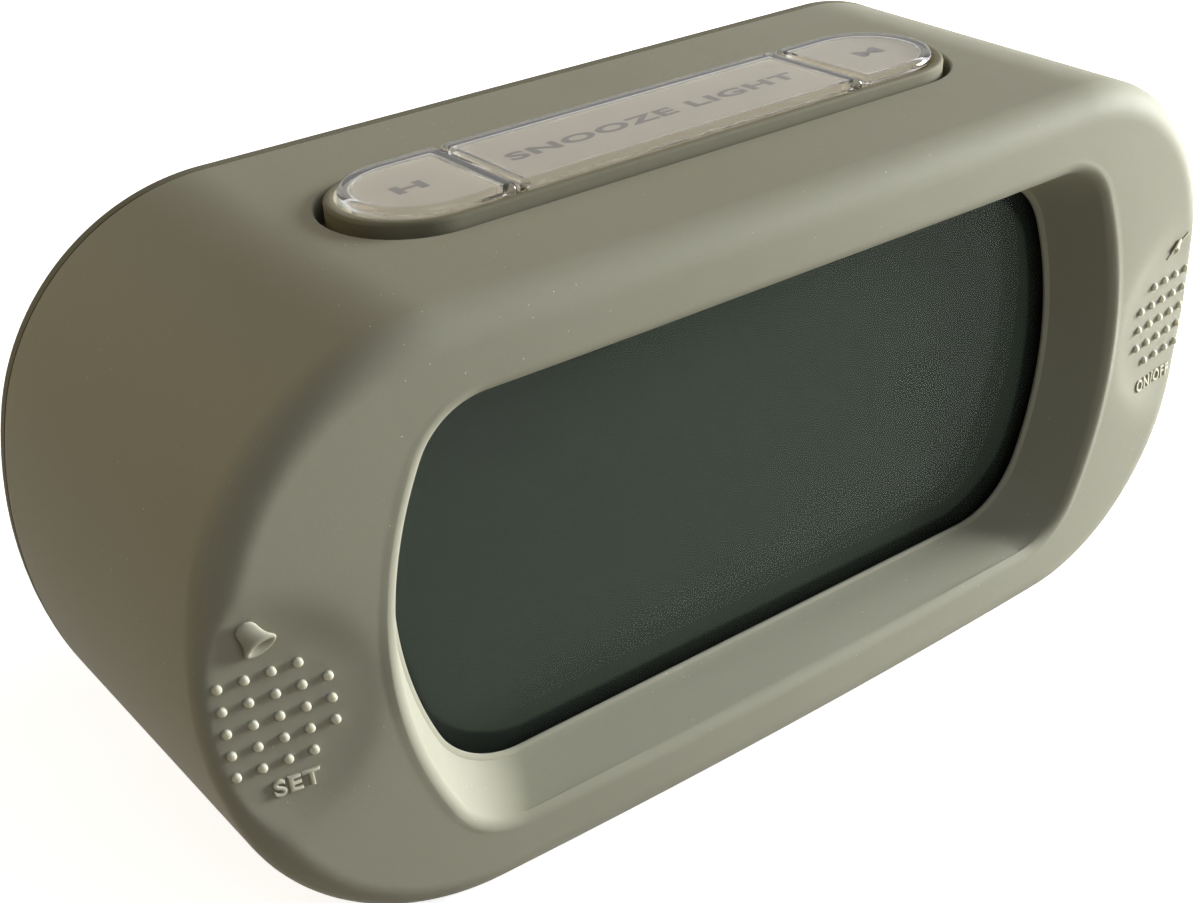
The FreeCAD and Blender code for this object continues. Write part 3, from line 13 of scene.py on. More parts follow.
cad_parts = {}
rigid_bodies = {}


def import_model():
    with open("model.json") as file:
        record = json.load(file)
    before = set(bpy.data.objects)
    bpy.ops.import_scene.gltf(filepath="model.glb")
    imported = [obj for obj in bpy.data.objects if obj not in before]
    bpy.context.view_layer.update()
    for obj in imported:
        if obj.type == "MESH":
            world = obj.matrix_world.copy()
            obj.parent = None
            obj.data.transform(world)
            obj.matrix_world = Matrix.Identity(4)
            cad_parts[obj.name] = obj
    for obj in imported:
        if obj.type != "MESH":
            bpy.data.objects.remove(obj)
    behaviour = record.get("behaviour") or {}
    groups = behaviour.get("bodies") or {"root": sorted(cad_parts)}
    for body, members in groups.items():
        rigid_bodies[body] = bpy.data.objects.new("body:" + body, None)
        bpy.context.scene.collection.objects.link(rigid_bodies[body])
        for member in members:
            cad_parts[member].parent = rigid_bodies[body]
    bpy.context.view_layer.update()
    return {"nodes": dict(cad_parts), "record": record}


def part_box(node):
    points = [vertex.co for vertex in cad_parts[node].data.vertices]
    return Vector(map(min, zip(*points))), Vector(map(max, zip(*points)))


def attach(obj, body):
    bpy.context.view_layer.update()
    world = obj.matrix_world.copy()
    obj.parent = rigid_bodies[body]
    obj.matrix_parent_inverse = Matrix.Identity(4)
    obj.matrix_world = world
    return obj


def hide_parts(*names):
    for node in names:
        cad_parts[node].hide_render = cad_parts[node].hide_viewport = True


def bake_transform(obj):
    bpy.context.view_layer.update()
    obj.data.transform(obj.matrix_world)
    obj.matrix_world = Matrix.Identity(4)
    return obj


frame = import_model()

MM = 0.001


def box_mm(node):
    """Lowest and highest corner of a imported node, in millimetres."""
    low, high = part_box(node)
    return np.array(low) / MM, np.array(high) / MM


# ---- Sizes, millimetres ----
COVER_HIGH = box_mm("rear_cover")[1]
LENS_LOW, LENS_HIGH = box_mm("display_lens")
HOUSING_LOW, HOUSING_HIGH = box_mm("front_housing")
COLLAR_LOW, COLLAR_HIGH = box_mm("key_collar")

FRONT_Y = box_mm("silicone_sleeve")[0][1]
BACK_Y = COVER_HIGH[1]
DEPTH = BACK_Y - FRONT_Y
DRAFT = 0.8                 # the outline grows by this from front to back, all round
SKIN_END_Y = BACK_Y - 2.0   # the rear cover's rim shows behind this
FACE_WIDTH = 153.4
FACE_HEIGHT = COVER_HIGH[2] - 2 * DRAFT
FACE_CORNER = 29.2          # radius of the outline's corner arcs
FACE_END = 52.2             # radius of the flatter arcs at its two ends
MID_Z = FACE_HEIGHT / 2
FACE_SAG = 2.6              # the bowed face falls back by this at its ends
FACE_BOW = ((FACE_WIDTH / 2 + DRAFT) ** 2 + FACE_SAG ** 2) / (2 * FACE_SAG)
FRONT_EDGE = 3.9            # rounding between face and sides
REAR_EDGE = 0.35            # rounding of the skin's rear edge

MOUTH = (112.0, 54.6, 10.0, 49.5)   # funnel at the face: width, height, corner and end radius
THROAT = (104.0, 49.6, 11.8, 46.6)  # funnel at the lens
LIP = 1.8                           # rounding of the funnel's mouth
LENS_MARGIN = 0.15                  # the lens reaches this far past the skin's lining
LINING = LENS_HIGH[0] - THROAT[0] / 2 - LENS_MARGIN     # silicone round the funnel at the lens
BEAD = 0.3                          # thin raised line round the lens
LINING_END_Y = LENS_LOW[1] - 0.1
RIM, RIM_CORNER, RIM_BLUR = 1.7, 9.0, 0.7   # darker rim painted on the display inside the throat: its inactive border and painted shade of the deep recess round it
HOUSING_Y = HOUSING_LOW[1]
SKIN = 2.8                          # thickness of the skin along its sides
CUT_OUT = 5.0                       # cutters reach this far out of the skin
WELL_END, SLOT_END = 3.0, 4.0       # wells and key slot end this far inside the housing's outside

BAND_PITCH, BAND_WIDTH = 22.0, 5.0  # pale bands on the dry cells

PAD_BOXES = {"set": box_mm("set_pad"), "alarm": box_mm("alarm_pad")}
PAD_X = (PAD_BOXES["alarm"][0][0] + PAD_BOXES["alarm"][1][0]) / 2
PAD_Z = (PAD_BOXES["alarm"][0][2] + PAD_BOXES["alarm"][1][2]) / 2
DISH_Y = FRONT_Y + 3.3      # floor of the dish at the pad's middle
DISH_TILT = math.tan(math.radians(8.1))
DISH_FLOOR = 9.6            # radius of its flat floor
DISH_FLARE = 4.0            # outward run of its wall for each millimetre of depth
DISH_BLEND = 0.5            # softness of its creases
DISH_REACH = 8.0            # nothing further than this behind the housing's front is dished
PATCH = 6.6                 # radius of the part of the skin that flexes
PATCH_TUCK = 0.12           # it reaches this far under the skin around it
PATCH_DIP = 0.25            # and this deep
PATCH_WALL = 1.0            # its thickness
POST = 2.0                  # radius of the post behind it, which works the switch
POST_TIP, POST_TAPER = 0.3, 0.85    # length of the post's tapered tip, and its end's share
DISC = 4.5                  # radius of its middle, which moves as one
WEB_SECTORS = 12
STUD_PITCH = 2.75
STUD_HEIGHT = 0.6
HIGHLIGHT_AND_RUB_RISE = 0.3                # raised marks are painted pale from this far above the skin, a painted highlight and rubbing

SLOT_LENGTH, SLOT_WIDTH = 88.6, 20.3  # slot in the skin for the keys
SLOT_EDGE = 0.3
KEY_MIDDLE_Y = (COLLAR_LOW[1] + COLLAR_HIGH[1]) / 2
KEYS = ("hour", "snooze", "minute")
KEY_CORNER = 0.9            # upright corners of the key caps
KEY_EDGE = 0.75             # rounding of their upper edges
KEY_GAP = 0.3               # between the row of keys and the collar
KEY_WALL = 1.65             # clear plastic round a legend plate's raised part
KEY_SKIRT = 0.4             # clear plastic round its foot
LEGEND_STEP = 0.65          # height of its raised part
GROOVE, GROOVE_RISE = 0.45, 0.9     # width of the air groove round it, and height above it
GROOVE_BREAK = (0.12, 0.15)         # level and upright size of the groove's broken edges
KEY_BREAK = 0.12            # broken lower edge of a cap
KEY_LEAST = 0.15            # least radius of a corner once it is set in
LEGEND_PROUD = 0.05         # a legend plate's foot stands out below its cap by this
LEGEND_FOOT = box_mm("snooze_legend_plate")[1][2] - 0.05    # painted shade below this height, on the plate's sides and foot
BOND = 0.02                 # a legend plate is bonded into its cap by this much
INK = 0.03                  # thickness of the print on the legend plates
LENS_INDEX = 1.07           # far below acrylic's 1.49, at which the display renders grainy
COLLAR_TOP = (86.3, 19.2)   # collar round the keys, where it stands out of the slot
COLLAR_LEDGE = 3.6          # below its top, where it widens to its full size
COLLAR_EDGES = (0.15, 0.45)  # rounding of its upper edges, inside and outside

# Points round a quarter of an outline: end arc, corner arc, straight
END_STEPS, CORNER_STEPS, STRAIGHT_STEPS = 28, 34, 12
# Loops of the skin: funnel wall, lip, face, its edge, side, rear edge, inner side, inner front
WALL_LOOPS, LIP_LOOPS, FACE_LOOPS, EDGE_LOOPS = 8, 8, 28, 12
SIDE_LOOPS, REAR_LOOPS, INNER_LOOPS, LINING_LOOPS = 14, 3, 9, 6
# Points round a corner of a key, half a slot, a well, a post and a stud
KEY_CORNER_STEPS, SLOT_STEPS, WELL_STEPS, POST_STEPS, STUD_STEPS = 10, 24, 96, 32, 14

# Light, metres and watts: place, side of the softbox, power, colour
FILL = 0.06                 # strength of the even light all round
LIGHTS = {"window": ((0.77, -0.23, 0.175), 0.34, 15.0, (0.98, 0.99, 1.0)),
          "room": ((-1.0, 1.0, 1.1), 1.2, 8.1, (1.0, 0.78, 0.44)),
          "front": ((0.12, -0.95, 0.90), 0.8, 3.0, (0.97, 0.98, 1.0))}
LIGHT_AIM = (0.0, 0.0, 0.04)
GLASS_GLOW = 0.80           # brightness of the surroundings as clear plastic shows them
FLOOR_GLOW = 0.80           # of the pale floor under the clock; it grows to 1 with distance
FLOOR_REACH = 4000.0        # millimetres


def add_object(name, data):
    """New object in the scene."""
    item = bpy.data.objects.new(name, data)
    bpy.context.scene.collection.objects.link(item)
    return item


# ---- Camera ----
IMAGE_WIDTH = 1200
FOCAL_PIXELS = 1648.5
CAMERA_PLACE = (-118.0, -149.2, 134.6)
CAMERA_TURN = -0.6171       # radians about the vertical, from looking along +Y
CAMERA_TILT = 0.5969        # radians below level
CAMERA_ROLL = -0.0596
CAMERA_SHIFT = (-0.004, 0.135)


def make_camera():
    data = bpy.data.cameras.new("camera")
    data.sensor_width = 36.0
    data.lens = data.sensor_width * FOCAL_PIXELS / IMAGE_WIDTH
    data.shift_x, data.shift_y = CAMERA_SHIFT
    data.clip_start, data.clip_end = 0.01, 20.0
    camera = add_object("camera", data)
    turn = Matrix.Rotation(CAMERA_TURN, 4, "Z")
    tilt = Matrix.Rotation(math.pi / 2 - CAMERA_TILT, 4, "X")
    roll = Matrix.Rotation(CAMERA_ROLL, 4, "Z")
    camera.matrix_world = Matrix.Translation(Vector(CAMERA_PLACE) * MM) @ turn @ tilt @ roll
    bpy.context.scene.camera = camera


# ---- Materials ----
def math_node(tree, kind, *values):
    """Result of a Math node, whose values are numbers or sockets."""
    node = tree.nodes.new("ShaderNodeMath")
    node.operation = kind
    for socket, value in zip(node.inputs, values):
        if isinstance(value, (int, float)):
            socket.default_value = value
        else:
            tree.links.new(value, socket)
    return node.outputs["Value"]


class Look:
    """A node material round one Principled shader, in object coordinates (metres)."""

    def __init__(self, name, **constants):
        self.material = bpy.data.materials.new(name)
        self.material.use_nodes = True
        self.nodes = self.material.node_tree.nodes
        self.links = self.material.node_tree.links
        self.shader = self.nodes["Principled BSDF"]
        self.place = self.nodes.new("ShaderNodeTexCoord").outputs["Object"]
        for socket, value in constants.items():
            self.shader.inputs[socket.replace("_", " ")].default_value = value

    def link(self, source, target):
        self.links.new(source, target)

    def set(self, socket, source):
        self.link(source, self.shader.inputs[socket])

    def noise(self, scale, detail=2.0, roughness=0.5, stretch=(1, 1, 1)):
        """Noise between 0 and 1; scale is features per metre."""
        mapping = self.nodes.new("ShaderNodeMapping")
        mapping.inputs["Scale"].default_value = stretch
        self.link(self.place, mapping.inputs["Vector"])
        node = self.nodes.new("ShaderNodeTexNoise")
        node.inputs["Scale"].default_value = scale
        node.inputs["Detail"].default_value = detail
        node.inputs["Roughness"].default_value = roughness
        self.link(mapping.outputs["Vector"], node.inputs["Vector"])
        return node.outputs["Fac"]

    def cells(self, scale, metric="EUCLIDEAN"):
        """Distance from the middle of the nearest of scattered cells; scale is cells per metre."""
        node = self.nodes.new("ShaderNodeTexVoronoi")
        node.distance = metric
        node.inputs["Scale"].default_value = scale
        self.link(self.place, node.inputs["Vector"])
        return node.outputs["Distance"]

    def specks(self, scale, size):
        """1 inside sparse round specks of about size (share of a cell), 0 elsewhere."""
        return self.ramp(self.cells(scale), [(size * 0.6, (1, 1, 1)), (size, (0, 0, 0))])

    def axes(self):
        """Sockets X, Y and Z of the place."""
        node = self.nodes.new("ShaderNodeSeparateXYZ")
        self.link(self.place, node.inputs["Vector"])
        return node.outputs

    def ramp(self, source, stops):
        node = self.nodes.new("ShaderNodeValToRGB")
        elements = node.color_ramp.elements
        while len(elements) < len(stops):
            elements.new(0.5)
        for element, (place, colour) in zip(elements, stops):
            element.position = place
            element.color = (*colour, 1.0)
        self.link(source, node.inputs["Fac"])
        return node.outputs["Color"]

    def math(self, kind, first, second=0.0):
        return math_node(self.material.node_tree, kind, first, second)

    def spread(self, source, low, high):
        """Source, from 0 to 1, spread from low to high."""
        node = self.nodes.new("ShaderNodeMapRange")
        node.inputs["To Min"].default_value = low
        node.inputs["To Max"].default_value = high
        self.link(source, node.inputs["Value"])
        return node.outputs["Result"]

    def mix(self, factor, first, second):
        """Mix of two colours, each a socket or three numbers."""
        node = self.nodes.new("ShaderNodeMix")
        node.data_type = "RGBA"
        self.link(factor, node.inputs["Factor"])
        for name, value in (("A", first), ("B", second)):
            socket = next(s for s in node.inputs if s.name == name and s.type == "RGBA")
            if isinstance(value, tuple):
                socket.default_value = (*value, 1.0)
            else:
                self.link(value, socket)
        return node.outputs["Result"]

    def rough(self, scale, low, high, detail=2.0):
        """Roughness that wanders from low to high; scale is features per metre."""
        self.set("Roughness", self.spread(self.noise(scale, detail), low, high))

    def bump(self, height, strength, distance):
        """Bump of that height map; distance is in millimetres."""
        node = self.nodes.new("ShaderNodeBump")
        node.inputs["Strength"].default_value = strength
        node.inputs["Distance"].default_value = distance * MM
        self.link(height, node.inputs["Height"])
        self.set("Normal", node.outputs["Normal"])


def silicone():
    """Matte soft-touch silicone: faint clouding, fine grain, a little dust, raised marks painted
    paler as painted highlight and rubbing.
    """
    look = Look("soft_silicone", Specular_IOR_Level=0.12, Subsurface_Weight=0.45,
                Subsurface_Scale=0.0006, Subsurface_Radius=(1.0, 0.9, 0.6))
    cloud = look.noise(24.0, 4.0)
    tone = look.ramp(cloud, [(0.30, (0.352, 0.349, 0.274)), (0.70, (0.378, 0.375, 0.298))])
    grain = look.noise(3400.0, 3.0, 0.6)
    toned = look.mix(look.spread(grain, 0.0, 0.32), tone, (0.29, 0.286, 0.22))
    # painted highlight and rubbing: raised marks turn paler with their height above the skin
    highlight_and_rub = look.nodes.new("ShaderNodeAttribute")
    highlight_and_rub.attribute_name = "highlight_and_rub"
    highlighted_and_worn = look.mix(highlight_and_rub.outputs["Fac"], toned, (0.80, 0.79, 0.65))
    patches = look.ramp(look.noise(42.0, 3.0), [(0.42, (0, 0, 0)), (0.56, (1, 1, 1))])
    dust = look.math("MULTIPLY", look.specks(600.0, 0.055), patches)
    look.set("Base Color", look.mix(dust, highlighted_and_worn, (0.78, 0.77, 0.70)))
    look.rough(900.0, 0.52, 0.68, 3.0)
    look.bump(look.noise(6500.0, 2.0), 0.22, 0.04)
    return look.material


def moulded(name, colour, roughness=0.5, grain=700.0, specular=0.45):
    """Moulded plastic with a fine spark-eroded texture."""
    look = Look(name, Specular_IOR_Level=specular)
    darker = tuple(c * 0.88 for c in colour)
    look.set("Base Color", look.mix(look.noise(grain, 4.0, 0.6), colour, darker))
    look.rough(2400.0, roughness - 0.08, roughness + 0.08)
    look.bump(look.noise(3800.0, 2.0), 0.35, 0.04)
    return look.material


def clear(name, tint, roughness, index=1.49):
    """Clear acrylic with a breath of haze and fine wipe marks."""
    look = Look(name, IOR=index, Transmission_Weight=1.0)
    haze = look.noise(160.0, 4.0)
    look.set("Base Color", look.mix(haze, tint, tuple(c * 0.97 for c in tint)))
    wipe = look.noise(300.0, 3.0, stretch=(1, 1, 6))
    look.set("Roughness", look.spread(wipe, roughness, roughness * 2.5))
    return look.material


def legend_plastic():
    """Pale on the raised face, with painted shade in a darker housing tone round its sides and
    foot.
    """
    look = Look("legend_plastic", Specular_IOR_Level=0.3)
    pale = look.mix(look.noise(240.0, 4.0), (0.295, 0.272, 0.211), (0.272, 0.250, 0.194))
    raised = look.math("GREATER_THAN", look.axes()["Z"], LEGEND_FOOT * MM)
    # painted shade: below LEGEND_FOOT the plate is darker, for the shade under the clear cap's
    # walls
    look.set("Base Color", look.mix(raised, (0.150, 0.145, 0.110), pale))
    look.rough(1800.0, 0.42, 0.55)
    look.bump(look.noise(4200.0, 2.0), 0.2, 0.02)
    return look.material


def inactive_rim_and_shade(look):
    """1 on the darker rim of the display, which follows the throat, and 0 on its active area; the
    rim is its inactive border and painted shade of the recess.
    """
    place = look.axes()
    middle = (LENS_LOW[2] + LENS_HIGH[2]) / 2 * MM
    up = look.math("ABSOLUTE", look.math("SUBTRACT", place["Z"], middle))
    bow = look.math("DIVIDE", look.math("MULTIPLY", up, up), 2 * THROAT[3] * MM)
    across = look.math("ADD", look.math("ABSOLUTE", place["X"]), bow)
    inset = (RIM + RIM_CORNER) * MM
    squares = []
    for reach, size in ((across, THROAT[0]), (up, THROAT[1])):
        past = look.math("MAXIMUM", look.math("SUBTRACT", reach, size / 2 * MM - inset))
        squares.append(look.math("MULTIPLY", past, past))
    away = look.math("SQRT", look.math("ADD", *squares))
    return look.math("DIVIDE", look.math("SUBTRACT", away, RIM_CORNER * MM), RIM_BLUR * MM)


def display_glass():
    """Blank reflective display: smooth dark olive polariser with a darker rim, its inactive border
    and painted shade of the recess round it.
    """
    look = Look("display_glass", Specular_IOR_Level=0.04)
    active = look.mix(look.noise(22.0, 2.0), (0.0225, 0.0300, 0.0205), (0.0245, 0.0292, 0.0240))
    # painted shade: the rim darkens the display where the funnel's recess shades it
    look.set("Base Color", look.mix(inactive_rim_and_shade(look), active, (0.0098, 0.0118, 0.0094)))
    look.rough(40.0, 0.22, 0.28)
    return look.material


def metal(name, colour, roughness, brushed):
    """Bare or plated metal; brushed stretches its grain along x."""
    look = Look(name, Metallic=1.0)
    darker = tuple(c * 0.8 for c in colour)
    grain = look.noise(1600.0, 3.0, 0.6, (1 / brushed, 1, 1))
    look.set("Base Color", look.mix(grain, colour, darker))
    look.set("Roughness", look.spread(grain, roughness * 0.8, roughness * 1.3))
    look.bump(grain, 0.15, 0.02)
    return look.material


def striped(name, first, second, pitch, axis, roughness=0.5):
    """Thin stripes across an axis (0, 1 or 2), softened by a little noise; pitch in millimetres."""
    look = Look(name, Specular_IOR_Level=0.4)
    turns = look.math("MULTIPLY", look.axes()[axis], 2 * math.pi / (pitch * MM))
    band = look.spread(look.math("SINE", turns), -1.5, 2.5)
    look.set("Base Color", look.mix(look.ramp(band, [(0.3, (0, 0, 0)), (0.7, (1, 1, 1))]),
                                    first, second))
    look.rough(1400.0, roughness - 0.1, roughness + 0.1)
    look.bump(look.noise(2600.0, 2.0), 0.2, 0.02)
    return look.material


def circuit_board():
    """Green solder mask over copper areas, which show a little lighter."""
    look = Look("circuit_board", Specular_IOR_Level=0.5, Coat_Weight=0.3, Coat_Roughness=0.2)
    tracks = look.ramp(look.cells(260.0, "CHEBYCHEV"), [(0.30, (0, 0, 0)), (0.34, (1, 1, 1))])
    look.set("Base Color", look.mix(tracks, (0.020, 0.125, 0.050), (0.012, 0.072, 0.030)))
    look.rough(1800.0, 0.28, 0.42, 3.0)
    look.bump(tracks, 0.4, 0.03)
    return look.material


def open_foam():
    look = Look("open_foam", Specular_IOR_Level=0.2, Sheen_Weight=0.3)
    cells = look.cells(1900.0)
    look.set("Base Color", look.ramp(cells, [(0.1, (0.010, 0.010, 0.011)),
                                             (0.6, (0.045, 0.045, 0.047))]))
    look.rough(900.0, 0.85, 0.97)
    look.bump(cells, 0.9, 0.25)
    return look.material


def cell_sleeve():
    """Plain shrink sleeve of a dry cell, with a pale band every BAND_PITCH."""
    look = Look("cell_sleeve", Specular_IOR_Level=0.5, Coat_Weight=0.4, Coat_Roughness=0.15)
    along = look.math("PINGPONG", look.axes()["X"], BAND_PITCH / 2 * MM)
    band = look.math("GREATER_THAN", along, (BAND_PITCH - BAND_WIDTH) / 2 * MM)
    look.set("Base Color", look.mix(band, (0.030, 0.036, 0.045), (0.42, 0.40, 0.34)))
    look.rough(1200.0, 0.22, 0.36, 3.0)
    look.bump(look.noise(300.0, 2.0), 0.15, 0.05)
    return look.material


# A slot of the record, what makes its material, and what that is told
PLAIN_LOOKS = {
    "housing_plastic": (moulded, (0.225, 0.215, 0.155), 0.6, 700.0, 0.06),
    "clear_lens": (clear, (0.97, 0.985, 0.97), 0.001, LENS_INDEX),
    "clear_key": (clear, (0.985, 0.985, 0.985), 0.02),
    "light_guide": (clear, (0.92, 0.94, 0.92), 0.12),
    "led_white": (moulded, (0.80, 0.72, 0.42), 0.3, 1500.0),
    "holder_plastic": (moulded, (0.012, 0.012, 0.012), 0.6),
    "contact_rubber": (striped, (0.02, 0.02, 0.022), (0.30, 0.30, 0.32), 0.18, 0),
    "resin_black": (moulded, (0.012, 0.012, 0.013), 0.25, 1100.0),
    "metal_can": (metal, (0.66, 0.66, 0.68), 0.28, 8.0),
    "capacitor_sleeve": (striped, (0.012, 0.018, 0.040), (0.50, 0.50, 0.52), 9.0, 0, 0.3),
    "switch_plastic": (moulded, (0.016, 0.016, 0.017), 0.45, 1200.0),
    "plunger_plastic": (moulded, (0.62, 0.60, 0.55), 0.45, 1200.0),
    "nickel": (metal, (0.70, 0.68, 0.62), 0.2, 4.0),
    "brass": (metal, (0.62, 0.43, 0.15), 0.3, 5.0),
    "ceramic": (moulded, (0.70, 0.69, 0.63), 0.35, 1800.0),
    "wire_red": (moulded, (0.42, 0.010, 0.008), 0.3, 900.0),
    "wire_black": (moulded, (0.012, 0.012, 0.012), 0.3, 900.0),
    "ribbon": (striped, (0.62, 0.60, 0.54), (0.48, 0.46, 0.41), 1.27, 0, 0.4),
    "screw_steel": (metal, (0.44, 0.44, 0.45), 0.32, 1.0),
}


def make_looks():
    """A material for each slot of the record."""
    looks = {"silicone": silicone(), "legend_plastic": legend_plastic(), "board": circuit_board(),
             "lcd_glass": display_glass(), "cell": cell_sleeve(), "foam": open_foam()}
    for slot, (make, *values) in PLAIN_LOOKS.items():
        looks[slot] = make(slot, *values)
    return looks


# ---- Mesh helpers ----
CREASE, SIGN_CREASE = 38.0, 50.0    # edges sharper than this stay hard, degrees


def shade(mesh, angle):
    """Smooth shading, with edges sharper than the angle (degrees) kept hard."""
    work = bmesh.new()
    work.from_mesh(mesh)
    limit = math.radians(angle)
    for face in work.faces:
        face.smooth = True
    for edge in work.edges:
        edge.smooth = len(edge.link_faces) == 2 and edge.calc_face_angle(0.0) < limit
    work.to_mesh(mesh)
    work.free()


def close_normals(mesh):
    """Turns all faces of a closed mesh outwards."""
    work = bmesh.new()
    work.from_mesh(mesh)
    bmesh.ops.remove_doubles(work, verts=work.verts, dist=1e-8)
    bmesh.ops.recalc_face_normals(work, faces=work.faces)
    work.to_mesh(mesh)
    work.free()


def mesh_object(name, points, faces):
    mesh = bpy.data.meshes.new(name)
    mesh.from_pydata((np.asarray(points, float) * MM).tolist(), [], faces)
    return add_object(name, mesh)


def finish_piece(piece, material, body=None, angle=CREASE):
    close_normals(piece.data)
    shade(piece.data, angle)
    piece.data.materials.clear()
    piece.data.materials.append(material)
    if body:
        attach(piece, body)


def skin_loops(loops, ring=False, closed=True):
    """Points and quads of the skin over equal loops; ring joins the last to the first."""
    count = len(loops[0])
    faces = []
    for k in range(len(loops) if ring else len(loops) - 1):
        here, there = k * count, (k + 1) % len(loops) * count
        for i in range(count if closed else count - 1):
            j = (i + 1) % count
            faces.append((here + i, there + i, there + j, here + j))
    return np.vstack(loops), faces


def solid_loops(loops):
    """Points and faces of the skin over closed loops, with a face over each end."""
    points, faces = skin_loops(loops)
    count = len(loops[0])
    last = len(points) - count
    return points, faces + [tuple(range(count)), tuple(range(last + count - 1, last - 1, -1))]


def full_turn(count):
    """That many angles round a circle."""
    return np.linspace(0, 2 * math.pi, count, endpoint=False)


def steps(count, end=1.0):
    """That many even steps from nought, left out, to the end."""
    return np.linspace(0, end, count + 1)[1:]


def cut_away(piece, *cutters):
    """Exact Boolean difference, applied to the piece's own mesh."""
    for cutter in cutters:
        close_normals(cutter.data)
        change = piece.modifiers.new("cut", "BOOLEAN")
        change.operation, change.solver, change.object = "DIFFERENCE", "EXACT", cutter
    shapes = bpy.context.evaluated_depsgraph_get()
    shapes.update()
    result = bpy.data.meshes.new_from_object(piece.evaluated_get(shapes))
    piece.modifiers.clear()
    piece.data = result
    for cutter in cutters:
        bpy.data.objects.remove(cutter)


def even_normals(piece):
    """Shades large flat faces flat where small curved ones meet them."""
    weighted = piece.modifiers.new("even_normals", "WEIGHTED_NORMAL")
    weighted.keep_sharp = True
    weighted.weight = 60


# ---- Outlines ----
def outline(width, height, corner, end):
    """Points (x, z) and outward normals round the clock's kind of outline, about its middle.

    Flat top and bottom, corner arcs, and flatter arcs that close the two ends.
    """
    rise = height / 2 - corner
    run = math.sqrt((end - corner) ** 2 - rise ** 2)
    end_x = width / 2 - end
    joint = math.atan2(rise, run)
    turn = np.concatenate([np.linspace(0, joint, END_STEPS, endpoint=False),
                           np.linspace(joint, math.pi / 2, CORNER_STEPS, endpoint=False),
                           np.full(STRAIGHT_STEPS + 1, math.pi / 2)])
    way = np.stack([np.cos(turn), np.sin(turn)], 1)
    middle = np.zeros_like(way)
    middle[:END_STEPS] = (end_x, 0)
    middle[END_STEPS:] = (end_x + run, rise)
    middle[-STRAIGHT_STEPS - 1:, 0] = np.linspace(end_x + run, 0, STRAIGHT_STEPS + 1)
    radius = np.full(len(way), corner)
    radius[:END_STEPS] = end
    quarter = middle + way * radius[:, None]
    return mirror_round(quarter), mirror_round(way)


def mirror_round(quarter):
    """A closed loop from the quarter between the +X and the +Z axis."""
    left = quarter[:0:-1] * (-1, 1)
    below = quarter[:-1] * (-1, -1)
    right = quarter[:0:-1] * (1, -1)
    return np.vstack([quarter[:-1], left, below, right])


def grown(shape, by):
    """Outline sizes after an offset to the outside."""
    width, height, corner, end = shape
    return width + 2 * by, height + 2 * by, corner + by, end + by


FACE = (FACE_WIDTH, FACE_HEIGHT, FACE_CORNER, FACE_END)


# ---- Front surface: bowed face, rounded edge, dishes for the pads ----
def face_y(x):
    return FRONT_Y + FACE_BOW - np.sqrt(FACE_BOW ** 2 - x ** 2)


def edge_fall(inside):
    """How far the rounded edge falls back, from the distance inside the outline."""
    reach = np.clip(FRONT_EDGE - inside, 0, FRONT_EDGE)
    return FRONT_EDGE - np.sqrt(FRONT_EDGE ** 2 - reach ** 2)


def soft_max(first, second, softness):
    return (first + second + np.sqrt((first - second) ** 2 + softness ** 2)) / 2


def dish_y(x, z):
    """Depth of the dish round a press pad: leaning flat floor, flared wall."""
    out = np.abs(x) - PAD_X
    away = np.hypot(out, z - PAD_Z)
    wall = soft_max(0.0, (away - DISH_FLOOR) / DISH_FLARE, DISH_BLEND)
    return DISH_Y + DISH_TILT * out - wall


def dished(x, y, z):
    return soft_max(y, dish_y(x, z), DISH_BLEND)


def pad_surface(x, z):
    """Front surface in the neighbourhood of a pad, where the outline is its end arc."""
    inside = FACE_END - np.hypot(np.abs(x) - (FACE_WIDTH / 2 - FACE_END), z - MID_Z)
    return dished(x, face_y(x) + edge_fall(inside), z)


# ---- Silicone sleeve ----
def upright_loop(points, y):
    """Loop of (x, y, z) from (x, z) about mid height."""
    return np.stack([points[:, 0], np.broadcast_to(y, len(points)), points[:, 1] + MID_Z], 1)


def drafted(loop, normals):
    """Moves a loop outwards and upwards by the draft at its depth."""
    growth = DRAFT * (loop[:, 1] - FRONT_Y) / DEPTH
    moved = loop.copy()
    moved[:, 0] += normals[:, 0] * growth
    moved[:, 2] += normals[:, 1] * growth + growth
    return moved


def funnel_loops():
    """From the bead round the lens out to the face, with a rounded lip."""
    throat, _ = outline(*THROAT)
    mouth, out = outline(*MOUTH)
    y_mouth = face_y(mouth[:, 0])
    wall = np.linalg.norm(mouth - throat, axis=1)
    depth = LENS_LOW[1] - y_mouth
    lean = np.arctan2(wall, depth)
    reach = LIP * np.tan((math.pi / 2 - lean) / 2)
    wall_way = (throat - mouth) / np.hypot(wall, depth)[:, None]
    back_way = depth / np.hypot(wall, depth)
    start = mouth + wall_way * reach[:, None]
    start_y = y_mouth + back_way * reach
    bead = outline(*grown(THROAT, -BEAD))[0]
    loops = [upright_loop(bead, LINING_END_Y), upright_loop(bead, LINING_END_Y - BEAD),
             upright_loop(bead * 0.3 + throat * 0.7, LINING_END_Y - 1.6 * BEAD)]
    foot = 2.2 * BEAD / (LINING_END_Y - start_y.mean())
    for share in np.linspace(foot, 1, WALL_LOOPS):
        across = throat + (start - throat) * share
        loops.append(upright_loop(across, LINING_END_Y + (start_y - LINING_END_Y) * share))
    middle = mouth + out * reach[:, None]
    for share in steps(LIP_LOOPS):
        turn = (math.pi / 2 - lean) * (1 - share)
        across = middle - out * (LIP * np.sin(turn))[:, None]
        loops.append(upright_loop(across, y_mouth + LIP * (1 - np.cos(turn))))
    return loops


